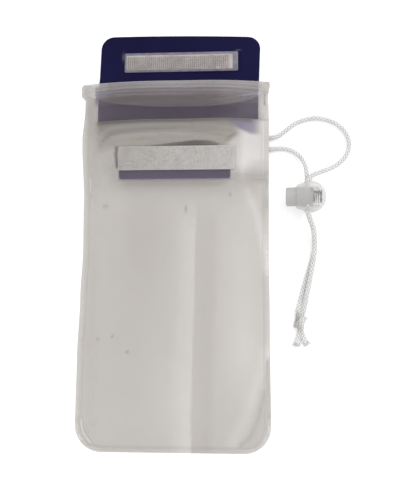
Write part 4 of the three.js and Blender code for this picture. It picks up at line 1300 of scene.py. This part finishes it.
KNOT_TURN = [
    (0.1, 5.9, -0.5), (0, 4.6, -0.7), (-0.9, 1.4, -1.4), (-1.7, -0.9, -0.9), (-1.9, -2.2, 0.4),
    (-1.5, -1.9, 1.5), (0, -0.2, 2.1), (1.5, 1.4, 1.6), (1.9, 1.9, 0.2), (1.2, 1.1, -1.3),
    (0.1, -0.9, -0.6), (0.1, -3.2, 0),
]
LEFT_TAIL = [(-0.7, -5.6, -0.9), (-1.2, -8.6, -1.4), (-1.9, -11, -1.5)]
RIGHT_TAIL = [(1, -5.4, -0.8), (1.7, -8.2, -1.4), (2.8, -10.6, -1.5)]
KNOT_RADIUS = 1.15
TAIL_SWELL = 0.4
# Middle of the knot from the cord's exit, and how far each strand lies beside it
KNOT_AT = (15.5, -96.8, 2.9)
KNOT_BESIDE = (0.85, 0, 0.35)
FRAY_FIBRES = 80
FRAY_LENGTH = 2.4
FRAY_SPREAD = 0.3
# A fibre's radius at shares of its length
FIBRE = [(0, 0.15), (0.3, 0.15), (0.6, 0.14), (0.8, 0.11), (1, 0.07)]


def frayed_end(name, path, material):
    """A bundle of fibres that spreads from the cut end of a strand."""
    tangents, axes = carried_axes(path)
    tip, ahead = path[-1], tangents[-1]
    things = []
    for k in range(FRAY_FIBRES):
        angle = RANDOM.uniform(0, 2 * math.pi)
        out = math.sqrt(RANDOM.uniform(0, 1))
        across = math.cos(angle) * axes[-1][0] + math.sin(angle) * axes[-1][1]
        length = FRAY_LENGTH * RANDOM.uniform(0.45, 1)
        root = tip - ahead * 1.6 + across * out * 1.2
        bend = across * out * FRAY_SPREAD + RANDOM.normal(0, 0.07, 3)
        points = np.array([root + ahead * (1.2 + length) * share + bend * length * share ** 2 * 1.6
                           for share, _ in FIBRE])
        points[:, 2] = np.maximum(points[:, 2], FIBRE[0][1])
        rings = tube_rings(points, np.array([radius for _, radius in FIBRE]), 4)
        things.append(rings_object("fibre", rings, material))
    fray = joined(name, things)
    set_mark(fray, "deep", RANDOM.uniform(0, 0.3, len(fray.data.vertices)))
    return fray


def knot(material):
    centre = np.add(EXIT, KNOT_AT)
    things = []
    for side, tail in ((-1, LEFT_TAIL), (1, RIGHT_TAIL)):
        turn = np.array(KNOT_TURN)
        turn[0, 0] += side * PAIR_PITCH / 2
        turn[1, 0] += side * PAIR_PITCH * 0.45
        turn[2:] += side * np.array(KNOT_BESIDE)
        path = centripetal(centre + np.vstack([turn, tail]), BRAID_STEP)
        reach = np.linspace(0, 1, len(path))
        ends = smooth((0.12 - reach) / 0.12) + smooth((reach - 0.8) / 0.1)
        radius = KNOT_RADIUS + (CORD / 2 - KNOT_RADIUS) * ends + TAIL_SWELL * smooth((reach - 0.82) / 0.18)
        path[:, 2] = np.maximum(path[:, 2], radius - 0.15)
        things.append(braid(f"knot_strand_{side}", path, material, radius))
        things.append(frayed_end(f"frayed_{side}", path, material))
    whole = joined("overhand_knot", things)
    x, y, _ = (points_mm(whole) - centre).T
    set_mark(whole, "dirt", 0.75 * np.exp(-((x + 2) / 1.9) ** 2 - ((y - 0.3) / 5.4) ** 4))
    return stand_in(whole, "cord_knot")


# Floor, lamps and world

FLOOR_HALF = 3000
FLOOR_Z = -0.05
FLOOR_GLOW = 0.35
WORLD_STRENGTH = 0.78


def make_floor():
    corners = [(x * FLOOR_HALF, y * FLOOR_HALF, FLOOR_Z) for x, y in ((-1, -1), (1, -1), (1, 1), (-1, 1))]
    new_object("floor", corners, [(0, 1, 2, 3)], floor_material())


def floor_material():
    """White where the camera sees it, also through the film, and plain grey for the light it throws back."""
    nodes = Nodes("floor_white")
    ray = nodes.put("ShaderNodeLightPath").outputs
    seen = nodes.math("MAXIMUM", ray["Is Camera Ray"], ray["Is Glossy Ray"], ray["Is Transmission Ray"])
    nodes.base(Base_Color=(0.8, 0.8, 0.8), Roughness=0.9, Specular_IOR_Level=0,
               Emission_Color=(1, 1, 1), Emission_Strength=nodes.math("MULTIPLY", seen, FLOOR_GLOW))
    return nodes.material


def lamp(name, place, target, size, watts):
    data = bpy.data.lights.new(name, "AREA")
    data.energy = watts
    data.size = size
    light = bpy.data.objects.new(name, data)
    light.location = place
    light.rotation_euler = (Vector(target) - Vector(place)).to_track_quat("-Z", "Y").to_euler()
    bpy.context.scene.collection.objects.link(light)


def make_light():
    world = bpy.data.worlds.new("room")
    bpy.context.scene.world = world
    world.use_nodes = True
    back = world.node_tree.nodes["Background"]
    back.inputs["Color"].default_value = (1, 1, 1, 1)
    back.inputs["Strength"].default_value = WORLD_STRENGTH
    lamp("window", (0.7, 0.45, 0.9), (0, 0, 0), 0.9, 6.5)
    lamp("fill", (-0.8, -0.5, 0.9), (0, 0, 0), 0.9, 3)


def dress(name, material):
    """Gives a CAD node that stays its material."""
    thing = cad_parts[name]
    if not thing.material_slots:
        thing.data.materials.append(material)
    for place in thing.material_slots:
        place.material = material


def main():
    bpy.context.scene.view_settings.view_transform = "Standard"
    make_camera()
    white = cord_material()
    film = film_material("frosted_film", (0.33, 0.284, 0.238), 0.181)
    strip_film = film_material("strip_film", (0.6, 0.58, 0.56), 0.05)
    seal = film_material("seal_plastic", (0.30, 0.285, 0.28), 0.08)
    navy = blue_material()
    hooks = tape_material("hook_fabric", (0.37, 0.335, 0.33), (0.52, 0.475, 0.46), 0.4)
    loops = tape_material("loop_fabric", (0.36, 0.345, 0.33), (0.415, 0.397, 0.384), 0.15)
    milky = lock_material("milky_plastic", (0.73, 0.712, 0.697), 0.27)
    button = lock_material("milky_button", (0.51, 0.495, 0.485), 0.62)
    make_cords(white, knot(white))
    front_film(film)
    back_film(film)
    flap_sheet(navy)
    loop_tape(loops)
    hook_tape(hooks, welded_material())
    seal_strips(seal)
    cord_lock(milky, button, steel_material())
    dress("cord_tab", strip_film)
    dress("tape_backing_patch", navy)
    make_floor()
    make_light()


main()
